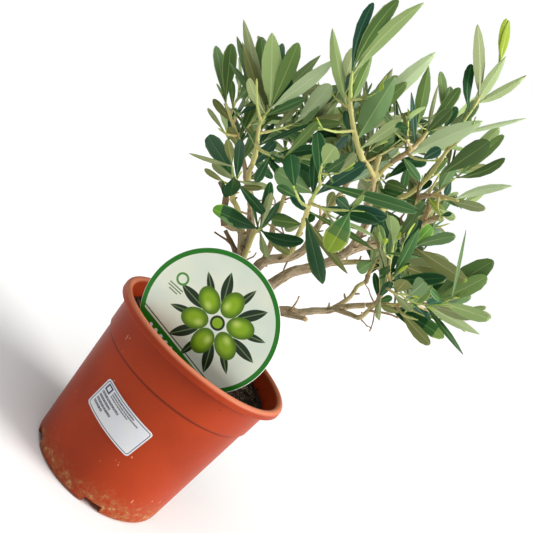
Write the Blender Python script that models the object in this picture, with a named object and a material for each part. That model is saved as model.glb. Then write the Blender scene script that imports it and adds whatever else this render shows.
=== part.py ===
"""A young olive tree in a 14 cm nursery pot, with its round picture card and its sticker.

Metres, +Z up. The origin is the centre of the pot's flat underside, the card stands at the front, at -Y,
and +X is to the right of someone who faces the card. Lengths in the tables are millimetres, a heading
is degrees anticlockwise from +X seen from above, and a rise is degrees above the level.
"""

import math
import random

import bmesh
import bpy
import numpy as np
from mathutils.bvhtree import BVHTree

MM = 0.001
GAP = 0.3  # between solids that touch in the real object

# The pot: a turned plastic shell with a rolled rim, a stepped collar and drain slots in its foot.
POT_HEIGHT = 122.5
RIM_RADIUS = 70.0
RIM_DEPTH = 6.0
RIM_INNER_RADIUS = 64.6
COLLAR_TOP_RADIUS = 63.6
COLLAR_BOTTOM_RADIUS = 61.8
COLLAR_DEPTH = 29.3
STEP_WIDTH = 1.4
STEP_HEIGHT = 1.2
BASE_RADIUS = 52.9
FOOT_FILLET = 3.0
POT_WALL = 1.8
FLOOR_TOP = 7.4
FLOOR_CHAMFER = 2.0
RIM_RUN = 4.0  # of straight wall between the collar's inside and the rim's roll
RIM_CHAMFER = 0.8
COLLAR_CHAMFER = 0.6
STEP_INSIDE = (0.8, 0.6)  # how far below and above the step's foot the inner wall follows it
POT_SIDES = 48
SLOTS = 5
SLOT_WIDTH = 14.0
SLOT_HEIGHT = 5.5
SLOT_LENGTH = 22.0
FIRST_SLOT_HEADING = 283.7
CUTTER_PAST = 6.0  # how far a slot's cutter reaches out of the wall, and down out of the foot

# The peat, level with a line a little below the rim.
SOIL_TOP = 111.2
SOIL_RISE = 1.4
MOUND_TOP_RADIUS, MOUND_FOOT_RADIUS = 26.0, 46.0
SOIL_CLEAR = 0.6  # from the pot's inner wall, whose flat facets stand inside its round

# The round card pushed into the peat behind the front of the rim, and the sticker on the wall.
CARD_RADIUS = 46.5
CARD_THICKNESS = 0.8
CARD_CENTRE = (-8.3, -44.8, 145.2)
CARD_LEAN = 3.4
CARD_TURN = -5.8
CARD_SIDES = 48
STICKER_WIDTH = 45.8
STICKER_HEIGHT = 23.8
STICKER_CORNER = 2.0
STICKER_THICKNESS = 0.3
STICKER_HEADING = 258.6
STICKER_LEVEL = 61.6
STICKER_TURN = -8.5

# The trunk's foot: how much wider it is at the peat, and how soon that dies away.
FLARE = 0.42
FLARE_HEIGHT = 7.0
LIMB_SIDES = 8
SMALL_LIMB, SMALL_LIMB_SIDES = 5.0, 6
ASKEW = (0.3, 0.9, 0.1)  # a direction that no limb runs in, from which a tube's first ring is turned

# Limbs: the limb each leaves, how far along that, diameters at foot and tip, and its runs of
# (heading, rise, length). The trunk starts at the peat.
TRUNK_FOOT = (0.0, 0.0, SOIL_TOP)
LIMBS = {
    "trunk": (None, 0, 17, 14, [(65, 85, 21), (145, 85, 24)]),
    "bough_left": (
        "trunk", 0.8, 8.5, 4,
        [(190, 60, 41), (235, 60, 16), (140, 50, 9), (140, 35, 11), (145, 45, 11), (155, 25, 10)]),
    "bough_centre": (
        "trunk", 0.95, 8.5, 3.6,
        [(200, 75, 31), (25, 70, 12), (35, 40, 13), (45, 60, 12), (120, 70, 14), (120, 75, 17),
         (130, 80, 17)]),
    "bough_tall": (
        "trunk", 0.9, 9, 3.6,
        [(20, 75, 32), (45, 65, 15), (30, 50, 13), (25, 55, 16), (20, 70, 15), (235, 80, 11),
         (225, 70, 15), (220, 45, 15), (225, 50, 12), (230, 45, 12), (220, 55, 10)]),
    "bough_right": (
        "trunk", 0.72, 6.4, 4.2,
        [(10, 50, 38), (10, 30, 11), (15, 45, 12), (15, 40, 9), (20, 50, 10), (5, 50, 8),
         (355, 45, 9)]),
    "bough_front": ("bough_left", 0.33, 4, 3, [(245, 55, 32), (275, 35, 9)]),
    "bough_low_left": ("bough_left", 0.52, 4.4, 3.4, [(215, 35, 30), (245, 15, 12), (240, 55, 8)]),
    "bough_left_up": ("bough_left", 0.8, 3.8, 3.2, [(205, 45, 23), (225, 60, 10)]),
    "bough_back_left": (
        "bough_centre", 0.3, 4.6, 3.2,
        [(110, 45, 20), (120, 30, 16), (110, 35, 21), (115, 45, 22), (130, 55, 19)]),
    "bough_centre_front": ("bough_centre", 0.42, 4.2, 3, [(280, 35, 20), (260, 30, 21), (260, 35, 15)]),
    "bough_right_up": (
        "bough_tall", 0.52, 6.5, 6,
        [(55, 45, 18), (30, 45, 17), (40, 60, 13), (30, 70, 12)]),
    "bough_top": ("bough_tall", 0.72, 4, 3.4, [(65, 40, 19), (65, 60, 13)]),
    "bough_back": ("bough_tall", 0.42, 4.4, 3.4, [(55, 25, 36), (65, 15, 24), (70, 30, 20)]),
    "bough_upper_left": ("bough_tall", 0.9, 3.4, 2.8, [(240, 10, 16), (225, 5, 8)]),
    "bough_upper_centre": ("bough_tall", 0.88, 3.4, 2.8, [(260, 75, 12), (295, 70, 6)]),
    "bough_upper_right": ("bough_right_up", 0.75, 3.6, 3, [(255, 60, 25), (235, 55, 10)]),
    "bough_right_back": ("bough_right", 0.74, 3.6, 3, [(65, 45, 20), (90, 40, 14), (70, 35, 10)]),
    "bough_right_front": (
        "bough_right", 0.78, 4, 3,
        [(305, 20, 17), (300, 20, 10), (275, 55, 10), (270, 70, 7)]),
    "stub_left": ("bough_left", 0.28, 5, 3.6, [(215, 50, 33), (210, -5, 7), (220, -5, 7)]),
    "stub_right": ("bough_right", 0.32, 4, 3.4, [(355, 30, 21), (305, 20, 5)]),
    "stub_up_a": ("bough_right_up", 0.97, 5, 4.6, [(45, 75, 14), (180, 65, 11)]),
    "stub_up_b": ("bough_right_up", 0.93, 5.2, 4.6, [(350, 65, 17), (340, 55, 10)]),
}

# Foliage: each mass grows on from its bough's tip. A stem of runs like a limb's; shoots as (twig they
# leave, how far along, heading, rise, length, pairs of leaves, leaf length), where twig 0 is the stem
# and the shoots are 1, 2, 3; and the leaves that give the crown its outline, as (twig, how far along,
# heading, rise, length, width, +1 with the upper side to the front or -1 with the underside).
STEM_DIAMETERS = (2.8, 1.8)
STEM_START = 0.4  # past the bough's tip, so that no corner of the stem comes within GAP of it
STEM_STRAIGHT = 2.2  # the stem carries its bough's line on to here before its first bend
SHOOT_DIAMETERS = (1.8, 1.2)
SHOOT_SAG = 0.04  # of its length, at the middle of a shoot
TWIG_SIDES = 3
TWIG_PAST = 0.9  # how far a twig runs on past its last leaves
ROOT_SUNK = 0.25  # how far a leaf's root lies behind its twig's middle line
ROOT_STEP, ROOT_STEPS = 0.08, 4  # roots end at different depths, so that none of them seal a hollow
MASSES = {
    "foliage_left_low": dict(
        bough="bough_low_left",
        seed=17,
        stem=[(240, 45, 7)],
        shoots=[(0, 1.0, 260, 15, 25, 2, 40), (0, 0.5, 255, -5, 25, 2, 36)],
        outline=[(0, 1.0, 210, 15, 35, 9.5, 1), (0, 1.0, 155, 50, 27, 8, 1),
                 (0, 0.9, 140, -5, 28, 6, -1), (0, 0.9, 335, -5, 29, 7.5, 1),
                 (0, 1.0, 50, 20, 28, 5.5, -1)]),
    "foliage_left": dict(
        bough="bough_left",
        seed=35,
        stem=[(170, 40, 15), (170, 35, 17), (190, 30, 15), (205, 30, 12)],
        shoots=[(0, 0.75, 275, 30, 44, 3, 40), (0, 0.85, 110, 30, 44, 3, 42),
                (0, 0.6, 95, 30, 56, 3, 44), (0, 0.4, 105, 10, 64, 3, 42), (0, 0.6, 260, -5, 37, 2, 34)],
        outline=[(0, 1.0, 215, 40, 39, 9.5, 1), (0, 1.0, 160, 50, 42, 9, 1),
                 (0, 0.95, 145, 45, 60, 9, -1), (0, 0.9, 250, -15, 27, 7, 1),
                 (0, 1.0, 270, 0, 42, 7, -1)]),
    "foliage_left_top": dict(
        bough="bough_left_up",
        seed=30,
        stem=[(225, 60, 10), (210, 55, 17), (225, 80, 12)],
        shoots=[(0, 0.55, 20, 55, 24, 2, 44), (0, 0.3, 310, 15, 42, 3, 44),
                (0, 0.8, 110, 35, 53, 3, 46), (0, 0.75, 255, 20, 48, 3, 42), (0, 0.4, 290, 0, 50, 2, 40)],
        outline=[(0, 1.0, 210, 50, 47, 12.5, -1), (0, 1.0, 20, 75, 50, 8.5, -1),
                 (0, 1.0, 120, 55, 61, 11, 1), (0, 0.95, 90, 70, 54, 7, 1),
                 (0, 0.9, 175, 30, 49, 8, -1), (0, 0.9, 150, 30, 77, 8, -1),
                 (0, 0.9, 235, 15, 33, 8, -1), (1, 1.0, 75, 85, 34, 9.5, 1)]),
    "foliage_front_low": dict(
        bough="bough_front",
        seed=1,
        stem=[(280, 25, 6)],
        shoots=[],
        outline=[(0, 1.0, 215, -5, 37, 12.5, 1), (0, 1.0, 330, 25, 33, 9.5, 1),
                 (0, 1.0, 205, 65, 25, 5.5, -1), (0, 0.9, 100, 50, 28, 5, 1),
                 (0, 0.6, 320, -25, 24, 6, -1), (0, 1.0, 250, 40, 42, 7, 1)]),
    "foliage_front": dict(
        bough="bough_centre_front",
        seed=27,
        stem=[(255, 35, 13), (250, 45, 12), (250, 60, 12)],
        shoots=[(0, 1.0, 260, 15, 32, 2, 42), (0, 0.6, 295, 15, 47, 3, 42), (0, 0.5, 255, 5, 43, 2, 40)],
        outline=[(0, 1.0, 340, 25, 59, 8.5, 1), (0, 1.0, 180, 45, 30, 9, 1),
                 (0, 0.8, 205, -5, 29, 11.5, -1), (0, 0.8, 10, 70, 33, 8, 1),
                 (0, 0.1, 315, -20, 50, 10.5, 1), (0, 0.2, 340, -10, 44, 5.5, -1),
                 (0, 0.45, 350, 15, 49, 4.5, 1)]),
    "foliage_upper_left": dict(
        bough="bough_upper_left",
        seed=32,
        stem=[(205, 25, 15), (205, 35, 18), (195, 55, 14), (205, 60, 9)],
        shoots=[(0, 0.35, 250, -20, 41, 3, 42), (0, 0.6, 130, 5, 32, 3, 42),
                (0, 0.3, 95, 25, 79, 3, 46), (0, 0.7, 285, 10, 39, 2, 42)],
        outline=[(0, 1.0, 220, 55, 40, 7.5, 1), (0, 1.0, 150, 75, 50, 8.5, 1),
                 (0, 0.95, 35, 90, 58, 9.5, -1), (0, 0.9, 200, 25, 33, 8.5, -1),
                 (0, 0.22, 190, 80, 46, 16.5, -1), (0, 0.65, 120, 60, 40, 7.5, -1),
                 (0, 0.1, 290, 50, 37, 7.5, -1)]),
    "foliage_upper_centre": dict(
        bough="bough_upper_centre",
        seed=44,
        stem=[(305, 65, 6), (315, 70, 8), (345, 85, 11), (120, 80, 13)],
        shoots=[(0, 0.4, 255, 5, 54, 3, 42), (0, 0.5, 100, 25, 66, 3, 46), (0, 0.3, 285, 0, 44, 3, 40)],
        outline=[(0, 0.3, 310, 50, 52, 12.5, -1), (0, 1.0, 180, 45, 36, 9.5, -1),
                 (0, 1.0, 125, 45, 46, 8, 1), (0, 1.0, 105, 65, 32, 8, 1),
                 (0, 0.95, 290, 35, 25, 10, 1), (0, 0.8, 135, 45, 64, 10, -1),
                 (0, 0.7, 225, 20, 34, 7.5, 1)]),
    "foliage_top": dict(
        bough="bough_top",
        seed=41,
        stem=[(325, 65, 11), (280, 70, 16), (250, 65, 25), (235, 65, 19), (240, 75, 10)],
        shoots=[(0, 1.0, 215, 75, 32, 0, 0), (0, 0.35, 70, 25, 54, 3, 44),
                (0, 0.45, 105, 35, 61, 3, 46), (0, 0.6, 270, 20, 39, 2, 40)],
        outline=[(1, 1.0, 200, 55, 27, 9, -1), (0, 1.0, 210, 40, 55, 10.5, -1),
                 (0, 0.95, 235, 20, 42, 8.5, 1), (1, 0.35, 250, 50, 30, 8, -1),
                 (0, 0.95, 35, 70, 49, 7.5, -1), (0, 0.8, 20, 50, 48, 5.5, -1),
                 (1, 1.0, 130, 55, 31, 7, 1)]),
    "foliage_upper_right": dict(
        bough="bough_upper_right",
        seed=20,
        stem=[(315, 55, 9), (330, 30, 10), (330, 20, 9)],
        shoots=[(0, 0.2, 235, 65, 17, 0, 0), (0, 0.35, 40, 75, 20, 0, 0), (0, 0.6, 60, 15, 53, 3, 42),
                (0, 0.5, 275, -15, 48, 3, 40)],
        outline=[(0, 1.0, 330, 55, 36, 8.5, -1), (0, 0.8, 305, 15, 31, 9.5, -1),
                 (1, 1.0, 300, 65, 39, 13.5, 1), (2, 1.0, 25, 80, 43, 6.5, 1),
                 (2, 1.0, 315, 55, 34, 6.5, 1), (1, 0.9, 275, -15, 40, 9.5, -1),
                 (2, 0.9, 60, 25, 37, 8, -1)]),
    "foliage_right": dict(
        bough="bough_right",
        seed=40,
        stem=[(0, 45, 11), (335, 40, 12), (330, 45, 12), (315, 40, 8)],
        shoots=[(0, 0.55, 75, 30, 59, 3, 46), (0, 0.8, 55, 10, 54, 3, 44), (0, 0.5, 275, 5, 61, 3, 42),
                (0, 0.9, 275, 20, 47, 2, 44)],
        outline=[(0, 1.0, 35, 65, 57, 14.5, 1), (0, 1.0, 310, 60, 45, 11, 1),
                 (0, 1.0, 30, 20, 56, 9, -1), (0, 1.0, 5, 10, 43, 8, -1), (0, 0.95, 335, -10, 43, 5, 1),
                 (0, 0.85, 300, -5, 41, 9, 1), (0, 0.8, 340, -25, 30, 6.5, -1)]),
    "foliage_right_front": dict(
        bough="bough_right_front",
        seed=28,
        stem=[(220, 70, 10), (250, 70, 12)],
        shoots=[(0, 1.0, 110, 70, 24, 0, 0), (0, 0.6, 280, 10, 44, 3, 42), (0, 0.8, 240, 30, 40, 2, 40)],
        outline=[(0, 1.0, 230, 65, 38, 8, 1), (0, 0.9, 330, 40, 35, 10, 1),
                 (1, 1.0, 345, 10, 42, 10.5, -1), (1, 1.0, 80, 65, 20, 9, 1),
                 (1, 0.9, 55, 35, 46, 8.5, -1), (0, 0.3, 300, -40, 22, 4.5, -1),
                 (0, 0.8, 70, 15, 32, 9, -1)]),
    "foliage_right_back": dict(
        bough="bough_right_back",
        seed=37,
        stem=[(110, 55, 8), (120, 65, 12)],
        shoots=[(0, 1.0, 70, 30, 39, 3, 44), (0, 0.9, 30, 35, 38, 3, 44), (0, 0.8, 55, 5, 64, 3, 42),
                (0, 1.0, 100, 50, 40, 2, 44)],
        outline=[(0, 1.0, 255, -25, 31, 9.5, -1)]),
    "foliage_back": dict(
        bough="bough_back",
        seed=16,
        stem=[(65, 50, 19), (70, 65, 15)],
        shoots=[(0, 1.0, 140, 55, 39, 3, 46), (0, 1.0, 10, 55, 31, 3, 46), (0, 0.6, 65, 5, 42, 3, 44),
                (0, 0.7, 130, 15, 40, 3, 44), (0, 0.3, 25, 5, 40, 2, 44), (0, 0.9, 85, 35, 40, 3, 44)],
        outline=[]),
    "foliage_back_left": dict(
        bough="bough_back_left",
        seed=15,
        stem=[(120, 50, 14), (115, 55, 14)],
        shoots=[(0, 1.0, 145, 55, 38, 3, 46), (0, 1.0, 60, 55, 42, 3, 46), (0, 0.6, 145, 5, 37, 3, 44),
                (0, 0.7, 70, 15, 45, 3, 44), (0, 0.3, 110, -5, 42, 2, 42), (0, 0.9, 105, 30, 40, 3, 44)],
        outline=[]),
    "foliage_back_centre": dict(
        bough="bough_centre",
        seed=25,
        stem=[(100, 55, 14), (100, 50, 16)],
        shoots=[(0, 1.0, 105, 55, 46, 3, 46), (0, 1.0, 70, 45, 64, 3, 46), (0, 0.7, 90, 15, 89, 3, 44),
                (0, 0.6, 70, 15, 63, 2, 42), (0, 0.9, 135, 25, 50, 2, 44)],
        outline=[]),
}

# A leaf's outline, at shares of its length, and its section.
LEAF_STATIONS = (0, 0.34, 0.72, 1)
LEAF_SHOULDER, LEAF_CHEEK = 0.88, 0.92  # its width at the two inner stations, as a share of its widest
LEAF_THICKNESS = 0.7
LEAF_BEND = 0.07  # how far the tip falls back, as a share of the length

# The rule by which a shoot's leaves stand: opposite pairs, each turned a right angle from the last.
FIRST_PAIR = 0.3  # of the shoot's length
PAIR_TURN, TURN_PLAY, HALF_PLAY = 90, 14, 12  # degrees round the shoot
SPREAD_BASE, SPREAD_TIP, SPREAD_PLAY = 58, 26, 8  # degrees between leaf and shoot, at its foot and its tip
LEVEL_GUIDE = (0.0, 0.35, 1.0)  # a shoot's turn is measured from square to this
LIFT = 0.22  # how far a leaf turns towards the light
LEAST_RISE = -0.12  # the steepest way down that a leaf hangs, as a sine
LENGTH_PLAY = (0.84, 1.14)
LENGTH_BASE, LENGTH_TIP = 1.06, 0.9  # of the shoot's leaf length, at its foot and its tip
WIDTH_RATIO = (0.19, 0.25)
FACE_UP, FACE_PLAY = 0.5, 0.3  # how far a leaf's upper side turns to the sky, and at random
OUTLINE_FACE = (0.12, -1.0, 0.45)  # the way that the upper side of an outline leaf faces

# How leaves are kept apart.
ROOM = 0.7  # clear all round a leaf
TWIG_RADIUS = 1.0
ROOT_SHARE = 0.25  # of a leaf, at its root, may come near its own mass
WANDER = 0.09  # how much further each new try turns a leaf
TRIES = 9

# Colours as linear values, roughness, metallic.
TERRACOTTA = ((0.36, 0.075, 0.03), 0.5, 0.0)
PEAT = ((0.016, 0.011, 0.008), 0.95, 0.0)
BARK = ((0.27, 0.2, 0.13), 0.85, 0.0)
LEAF_GREEN = ((0.08, 0.16, 0.055), 0.5, 0.0)
CARD_STOCK = ((0.62, 0.68, 0.6), 0.4, 0.0)
STICKER_PAPER = ((0.62, 0.63, 0.66), 0.6, 0.0)


def unit(vector):
    return vector / np.linalg.norm(vector)


def towards(heading, rise):
    """The unit vector at this heading and rise."""
    turn, tilt = math.radians(heading), math.radians(rise)
    return np.array([math.cos(turn) * math.cos(tilt), math.sin(turn) * math.cos(tilt), math.sin(tilt)])


def route(start, runs):
    """The corner points of runs of (heading, rise, length) laid end to end."""
    points = [np.asarray(start, float)]
    for heading, rise, length in runs:
        points.append(points[-1] + length * towards(heading, rise))
    return np.array(points)


def arc_lengths(points):
    return np.r_[0, np.cumsum(np.linalg.norm(np.diff(points, axis=0), axis=1))]


def place_on(points, fraction):
    """The point this fraction of the way along, and the direction there."""
    lengths = arc_lengths(points)
    reach = fraction * lengths[-1]
    run = min(np.searchsorted(lengths, reach, side="right") - 1, len(points) - 2)
    step = points[run + 1] - points[run]
    return points[run] + step * (reach - lengths[run]) / (lengths[run + 1] - lengths[run]), unit(step)


def eased(points, steps=2):
    """The same route with its corners eased by a Catmull-Rom curve through its points."""
    ends = np.vstack([2 * points[0] - points[1], points, 2 * points[-1] - points[-2]])
    share = np.arange(steps) / steps
    curve = []
    for a, b, c, d in zip(ends, ends[1:], ends[2:], ends[3:]):
        for t in share:
            square = (2 * a - 5 * b + 4 * c - d) * t**2
            cube = (3 * b - a - 3 * c + d) * t**3
            curve.append(0.5 * (2 * b + (c - a) * t + square + cube))
    return np.array(curve + [points[-1]])


def tube(points, radii, sides, foot_axis=None):
    """Vertices and faces of a closed round bar along the points, its rings carried on without twisting."""
    ahead = np.gradient(points, axis=0)
    if foot_axis is not None:
        ahead[0] = foot_axis
    side = unit(np.cross(ahead[0], ASKEW))
    angles = 2 * math.pi * np.arange(sides) / sides
    rings = []
    for point, axis, radius in zip(points, ahead, radii):
        axis = unit(axis)
        side = unit(side - side.dot(axis) * axis)
        ring = np.outer(np.cos(angles), side) + np.outer(np.sin(angles), np.cross(axis, side))
        rings.append(point + radius * ring)
    faces = []
    for ring in range(len(points) - 1):
        for i in range(sides):
            a, b = ring * sides + i, ring * sides + (i + 1) % sides
            faces.append((a, b, b + sides, a + sides))
    last = (len(points) - 1) * sides
    faces += [tuple(range(sides - 1, -1, -1)), tuple(range(last, last + sides))]
    return np.vstack(rings), faces


def blade(root, ahead, facing, length, width, thickness, start=0.0):
    """Vertices and faces of one leaf: six corners round the outline and a ridge on each side.

    start leaves out that share of the leaf next to its root.
    """
    across = unit(np.cross(facing, ahead))
    up = np.cross(ahead, across)
    stations = start + (1 - start) * np.array(LEAF_STATIONS)
    spine = root + np.outer(stations * length, ahead) - np.outer(LEAF_BEND * length * stations**2, up)
    half = 0.5 * width * across
    rise = 0.5 * thickness * up
    corners = [
        spine[0], spine[1] + LEAF_SHOULDER * half, spine[2] + LEAF_CHEEK * half,
        spine[3], spine[2] - LEAF_CHEEK * half, spine[1] - LEAF_SHOULDER * half,
        spine[1] + rise, spine[1] - rise,
    ]
    rim = range(6)
    return np.array(corners), [(i, (i + 1) % 6, 7) for i in rim] + [((i + 1) % 6, i, 6) for i in rim]


class Thing:
    """Something a leaf must keep clear of: the mass it belongs to, its whole surface, which other masses
    keep clear of, and the outer part that its own mass keeps clear of."""

    def __init__(self, mass, shape, outer=None):
        self.mass = mass
        self.tree = BVHTree.FromPolygons(shape[0].tolist(), shape[1])
        self.outer = self.tree if outer is None else BVHTree.FromPolygons(outer[0].tolist(), outer[1])
        self.centre = (shape[0].min(axis=0) + shape[0].max(axis=0)) / 2
        self.radius = np.linalg.norm(shape[0] - self.centre, axis=1).max()

    def meets(self, other):
        if np.linalg.norm(self.centre - other.centre) > self.radius + other.radius:
            return False
        if self.mass == other.mass:
            return bool(self.outer.overlap(other.outer))
        return bool(self.tree.overlap(other.tree))


def leaf_test(mass, root, ahead, facing, length, width):
    size = (length + ROOM, width + 2 * ROOM, LEAF_THICKNESS + 2 * ROOM)
    whole = blade(root, ahead, facing, *size)
    return Thing(mass, whole, blade(root, ahead, facing, *size, start=ROOT_SHARE))


def grow_leaf(mass, root, ahead, facing, length, width, things, chance):
    """Turns a leaf a little further at each try until it is clear of the others; None if it never is."""
    for tries in range(TRIES):
        wander = WANDER * tries * np.array([chance.uniform(-1, 1) for _ in range(3)])
        way = unit(ahead + wander)
        out = unit(facing - facing.dot(way) * way)
        test = leaf_test(mass, root, way, out, length, width)
        if not any(test.meets(thing) for thing in things):
            things.append(test)
            return root, way, out, length, width
    return None


def grow_pairs(mass, twig, pairs, leaf, things, chance):
    """The opposite pairs of leaves on one shoot, smaller towards its tip."""
    leaves = []
    turn = chance.uniform(0, 180)
    for pair in range(pairs):
        share = FIRST_PAIR + (1 - FIRST_PAIR) * pair / (pairs - 1)
        root, ahead = place_on(twig, share)
        side = unit(np.cross(ahead, LEVEL_GUIDE))
        turn += PAIR_TURN + chance.uniform(-TURN_PLAY, TURN_PLAY)
        for half in (0, 180):
            angle = math.radians(turn + half + chance.uniform(-HALF_PLAY, HALF_PLAY))
            out = math.cos(angle) * side + math.sin(angle) * np.cross(ahead, side)
            lean = SPREAD_BASE + (SPREAD_TIP - SPREAD_BASE) * share
            spread = math.radians(lean + chance.uniform(-SPREAD_PLAY, SPREAD_PLAY))
            way = unit(math.cos(spread) * ahead + math.sin(spread) * out + np.array([0, 0, LIFT]))
            way = unit(np.array([way[0], way[1], max(way[2], LEAST_RISE)]))
            length = leaf * chance.uniform(*LENGTH_PLAY) * (LENGTH_BASE + (LENGTH_TIP - LENGTH_BASE) * share)
            width = length * chance.uniform(*WIDTH_RATIO)
            play = FACE_PLAY * np.array([chance.uniform(-1, 1) for _ in range(3)])
            facing = ahead + np.array([0, 0, FACE_UP]) + play
            leaves.append(grow_leaf(mass, root, way, facing, length, width, things, chance))
    return [leaf for leaf in leaves if leaf]


def sides_of(name):
    return LIMB_SIDES if LIMBS[name][2] > SMALL_LIMB else SMALL_LIMB_SIDES


def grow_limbs():
    """Each limb's eased route and its radii, and each limb's corner points."""
    corners, limbs = {}, {}
    for name, (parent, fraction, foot, tip, runs) in LIMBS.items():
        start = place_on(corners[parent], fraction)[0] if parent else TRUNK_FOOT
        corners[name] = route(start, runs)
        points = eased(corners[name])
        lengths = arc_lengths(points)
        radii = np.interp(lengths, (0, lengths[-1]), (foot / 2, tip / 2))
        if not parent:
            radii = radii * (1 + FLARE * np.exp(-lengths / FLARE_HEIGHT))
        limbs[name] = points, radii
    return corners, limbs


def grow_twigs(name, corners):
    """The stem and the shoots of one mass, as routes."""
    mass = MASSES[name]
    bough = corners[mass["bough"]]
    tip, ahead = bough[-1], unit(bough[-1] - bough[-2])
    stem = route(tip, mass["stem"])
    stem[0] = tip + STEM_START * ahead
    twigs = [np.vstack([stem[0], tip + STEM_STRAIGHT * ahead, stem[1:]])]
    for origin, fraction, heading, rise, length, _, _ in mass["shoots"]:
        start = place_on(stem if origin == 0 else twigs[origin], fraction)[0]
        half = route(start, [(heading, rise, length / 2)])[1]
        end = route(start, [(heading, rise, length)])[1]
        twigs.append(np.array([start, half - (0, 0, SHOOT_SAG * length), end]))
    return twigs


def grow_foliage(corners, limbs, others):
    """Every mass's twigs and leaves. Twigs are laid first, then the outline leaves, then the pairs."""
    things = []
    for name, (points, radii) in limbs.items():
        things.append(Thing(name, tube(points, radii + ROOM, sides_of(name))))
    things += [Thing("other", shape) for shape in others]
    twigs = {name: grow_twigs(name, corners) for name in MASSES}
    leaves = {name: [] for name in MASSES}
    for name, routes in twigs.items():
        for twig in routes:
            radii = np.full(len(twig), TWIG_RADIUS + ROOM)
            outer = tube(twig[1:], radii[1:], TWIG_SIDES)
            things.append(Thing(name, tube(twig, radii, TWIG_SIDES), outer))
    for name, mass in MASSES.items():
        chance = random.Random(f"{name} outline")
        for origin, fraction, heading, rise, length, width, seen in mass["outline"]:
            route_of = twigs[name][origin]
            root = place_on(route_of[1:] if origin == 0 else route_of, fraction)[0]
            ahead = towards(heading, rise)
            facing = seen * np.array(OUTLINE_FACE)
            leaves[name].append(grow_leaf(name, root, ahead, facing, length, width, things, chance))
    for name, mass in MASSES.items():
        chance = random.Random(f"{name} pairs {mass['seed']}")
        for twig, (_, _, _, _, _, pairs, leaf) in zip(twigs[name][1:], mass["shoots"]):
            if pairs:
                leaves[name] += grow_pairs(name, twig, pairs, leaf, things, chance)
    return twigs, {name: [leaf for leaf in found if leaf] for name, found in leaves.items()}


def material(name, finish):
    colour, roughness, metallic = finish
    made = bpy.data.materials.new(name)
    made.use_nodes = True
    made.diffuse_color = (*colour, 1.0)
    shader = made.node_tree.nodes["Principled BSDF"]
    shader.inputs["Base Color"].default_value = (*colour, 1.0)
    shader.inputs["Roughness"].default_value = roughness
    shader.inputs["Metallic"].default_value = metallic
    return made


def add(name, shape, finish=None, smooth=None):
    """A mesh object from vertices in millimetres and faces."""
    points, faces = shape
    mesh = bpy.data.meshes.new(name)
    mesh.from_pydata((np.asarray(points) * MM).tolist(), [], faces)
    obj = bpy.data.objects.new(name, mesh)
    bpy.context.scene.collection.objects.link(obj)
    if finish:
        mesh.materials.append(finish)
    if smooth is not None:
        mesh.shade_smooth()
        mesh.set_sharp_from_angle(angle=math.radians(smooth))
    return obj


def face_bodies(work):
    """The faces of each closed body, those that share edges going together, the largest body last."""
    unseen, bodies = set(work.faces), []
    while unseen:
        body, edge = [], [unseen.pop()]
        while edge:
            face = edge.pop()
            body.append(face)
            near = {other for link in face.edges for other in link.link_faces} & unseen
            unseen -= near
            edge += near
        bodies.append(body)
    return sorted(bodies, key=len)


def settle(obj, smooth=None):
    """Applies the object's modifiers, drops loose scraps, fills sealed hollows and makes it triangles."""
    graph = bpy.context.evaluated_depsgraph_get()
    made = bpy.data.meshes.new_from_object(obj.evaluated_get(graph))
    obj.modifiers.clear()
    obj.data = made
    work = bmesh.new()
    work.from_mesh(made)
    bmesh.ops.triangulate(work, faces=work.faces)
    scraps = face_bodies(work)[:-1]
    bmesh.ops.delete(work, geom=[face for body in scraps for face in body], context="FACES")
    work.to_mesh(made)
    work.free()
    if smooth is not None:
        made.shade_smooth()
        made.set_sharp_from_angle(angle=math.radians(smooth))
    return len(scraps)


def cut(obj, cutter):
    cutter.hide_render = True
    cutter.display_type = "WIRE"
    modifier = obj.modifiers.new("cut by " + cutter.name, "BOOLEAN")
    modifier.operation = "DIFFERENCE"
    modifier.object = cutter


def discard(objects):
    for obj in objects:
        bpy.data.objects.remove(obj)


def turned(name, profile, sides, finish):
    """A solid of revolution: the profile runs from the axis at the top, down the outside, to the axis."""
    mesh = bpy.data.meshes.new(name)
    edges = [(i, i + 1) for i in range(len(profile) - 1)]
    mesh.from_pydata([(r * MM, 0, z * MM) for r, z in profile], edges, [])
    mesh.materials.append(finish)
    obj = bpy.data.objects.new(name, mesh)
    bpy.context.scene.collection.objects.link(obj)
    screw = obj.modifiers.new("turn", "SCREW")
    screw.steps = screw.render_steps = sides
    screw.use_merge_vertices = True
    screw.merge_threshold = 1e-6
    screw.use_smooth_shade = True
    return obj


def arc(centre, radius, start, end, steps):
    """Points of a profile on an arc between two angles in degrees from the horizontal."""
    angles = np.radians(np.linspace(start, end, steps))
    return [(centre[0] + radius * math.cos(a), centre[1] + radius * math.sin(a)) for a in angles]


def wall_radius(level):
    """The pot's outer radius below its collar."""
    top = POT_HEIGHT - COLLAR_DEPTH - STEP_HEIGHT
    return np.interp(level, (FOOT_FILLET, top), (BASE_RADIUS, COLLAR_BOTTOM_RADIUS - STEP_WIDTH))


def inner_radius(level):
    """The pot's inner radius, between its floor and the foot of its rim."""
    below, above = STEP_INSIDE
    step_foot = POT_HEIGHT - COLLAR_DEPTH - STEP_HEIGHT
    rim_foot = POT_HEIGHT - RIM_DEPTH - RIM_RUN
    levels = (FLOOR_TOP, step_foot - below, step_foot + above, rim_foot)
    outer = (wall_radius(FLOOR_TOP), wall_radius(step_foot), COLLAR_BOTTOM_RADIUS, COLLAR_TOP_RADIUS)
    return np.interp(level, levels, np.array(outer) - POT_WALL)


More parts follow.
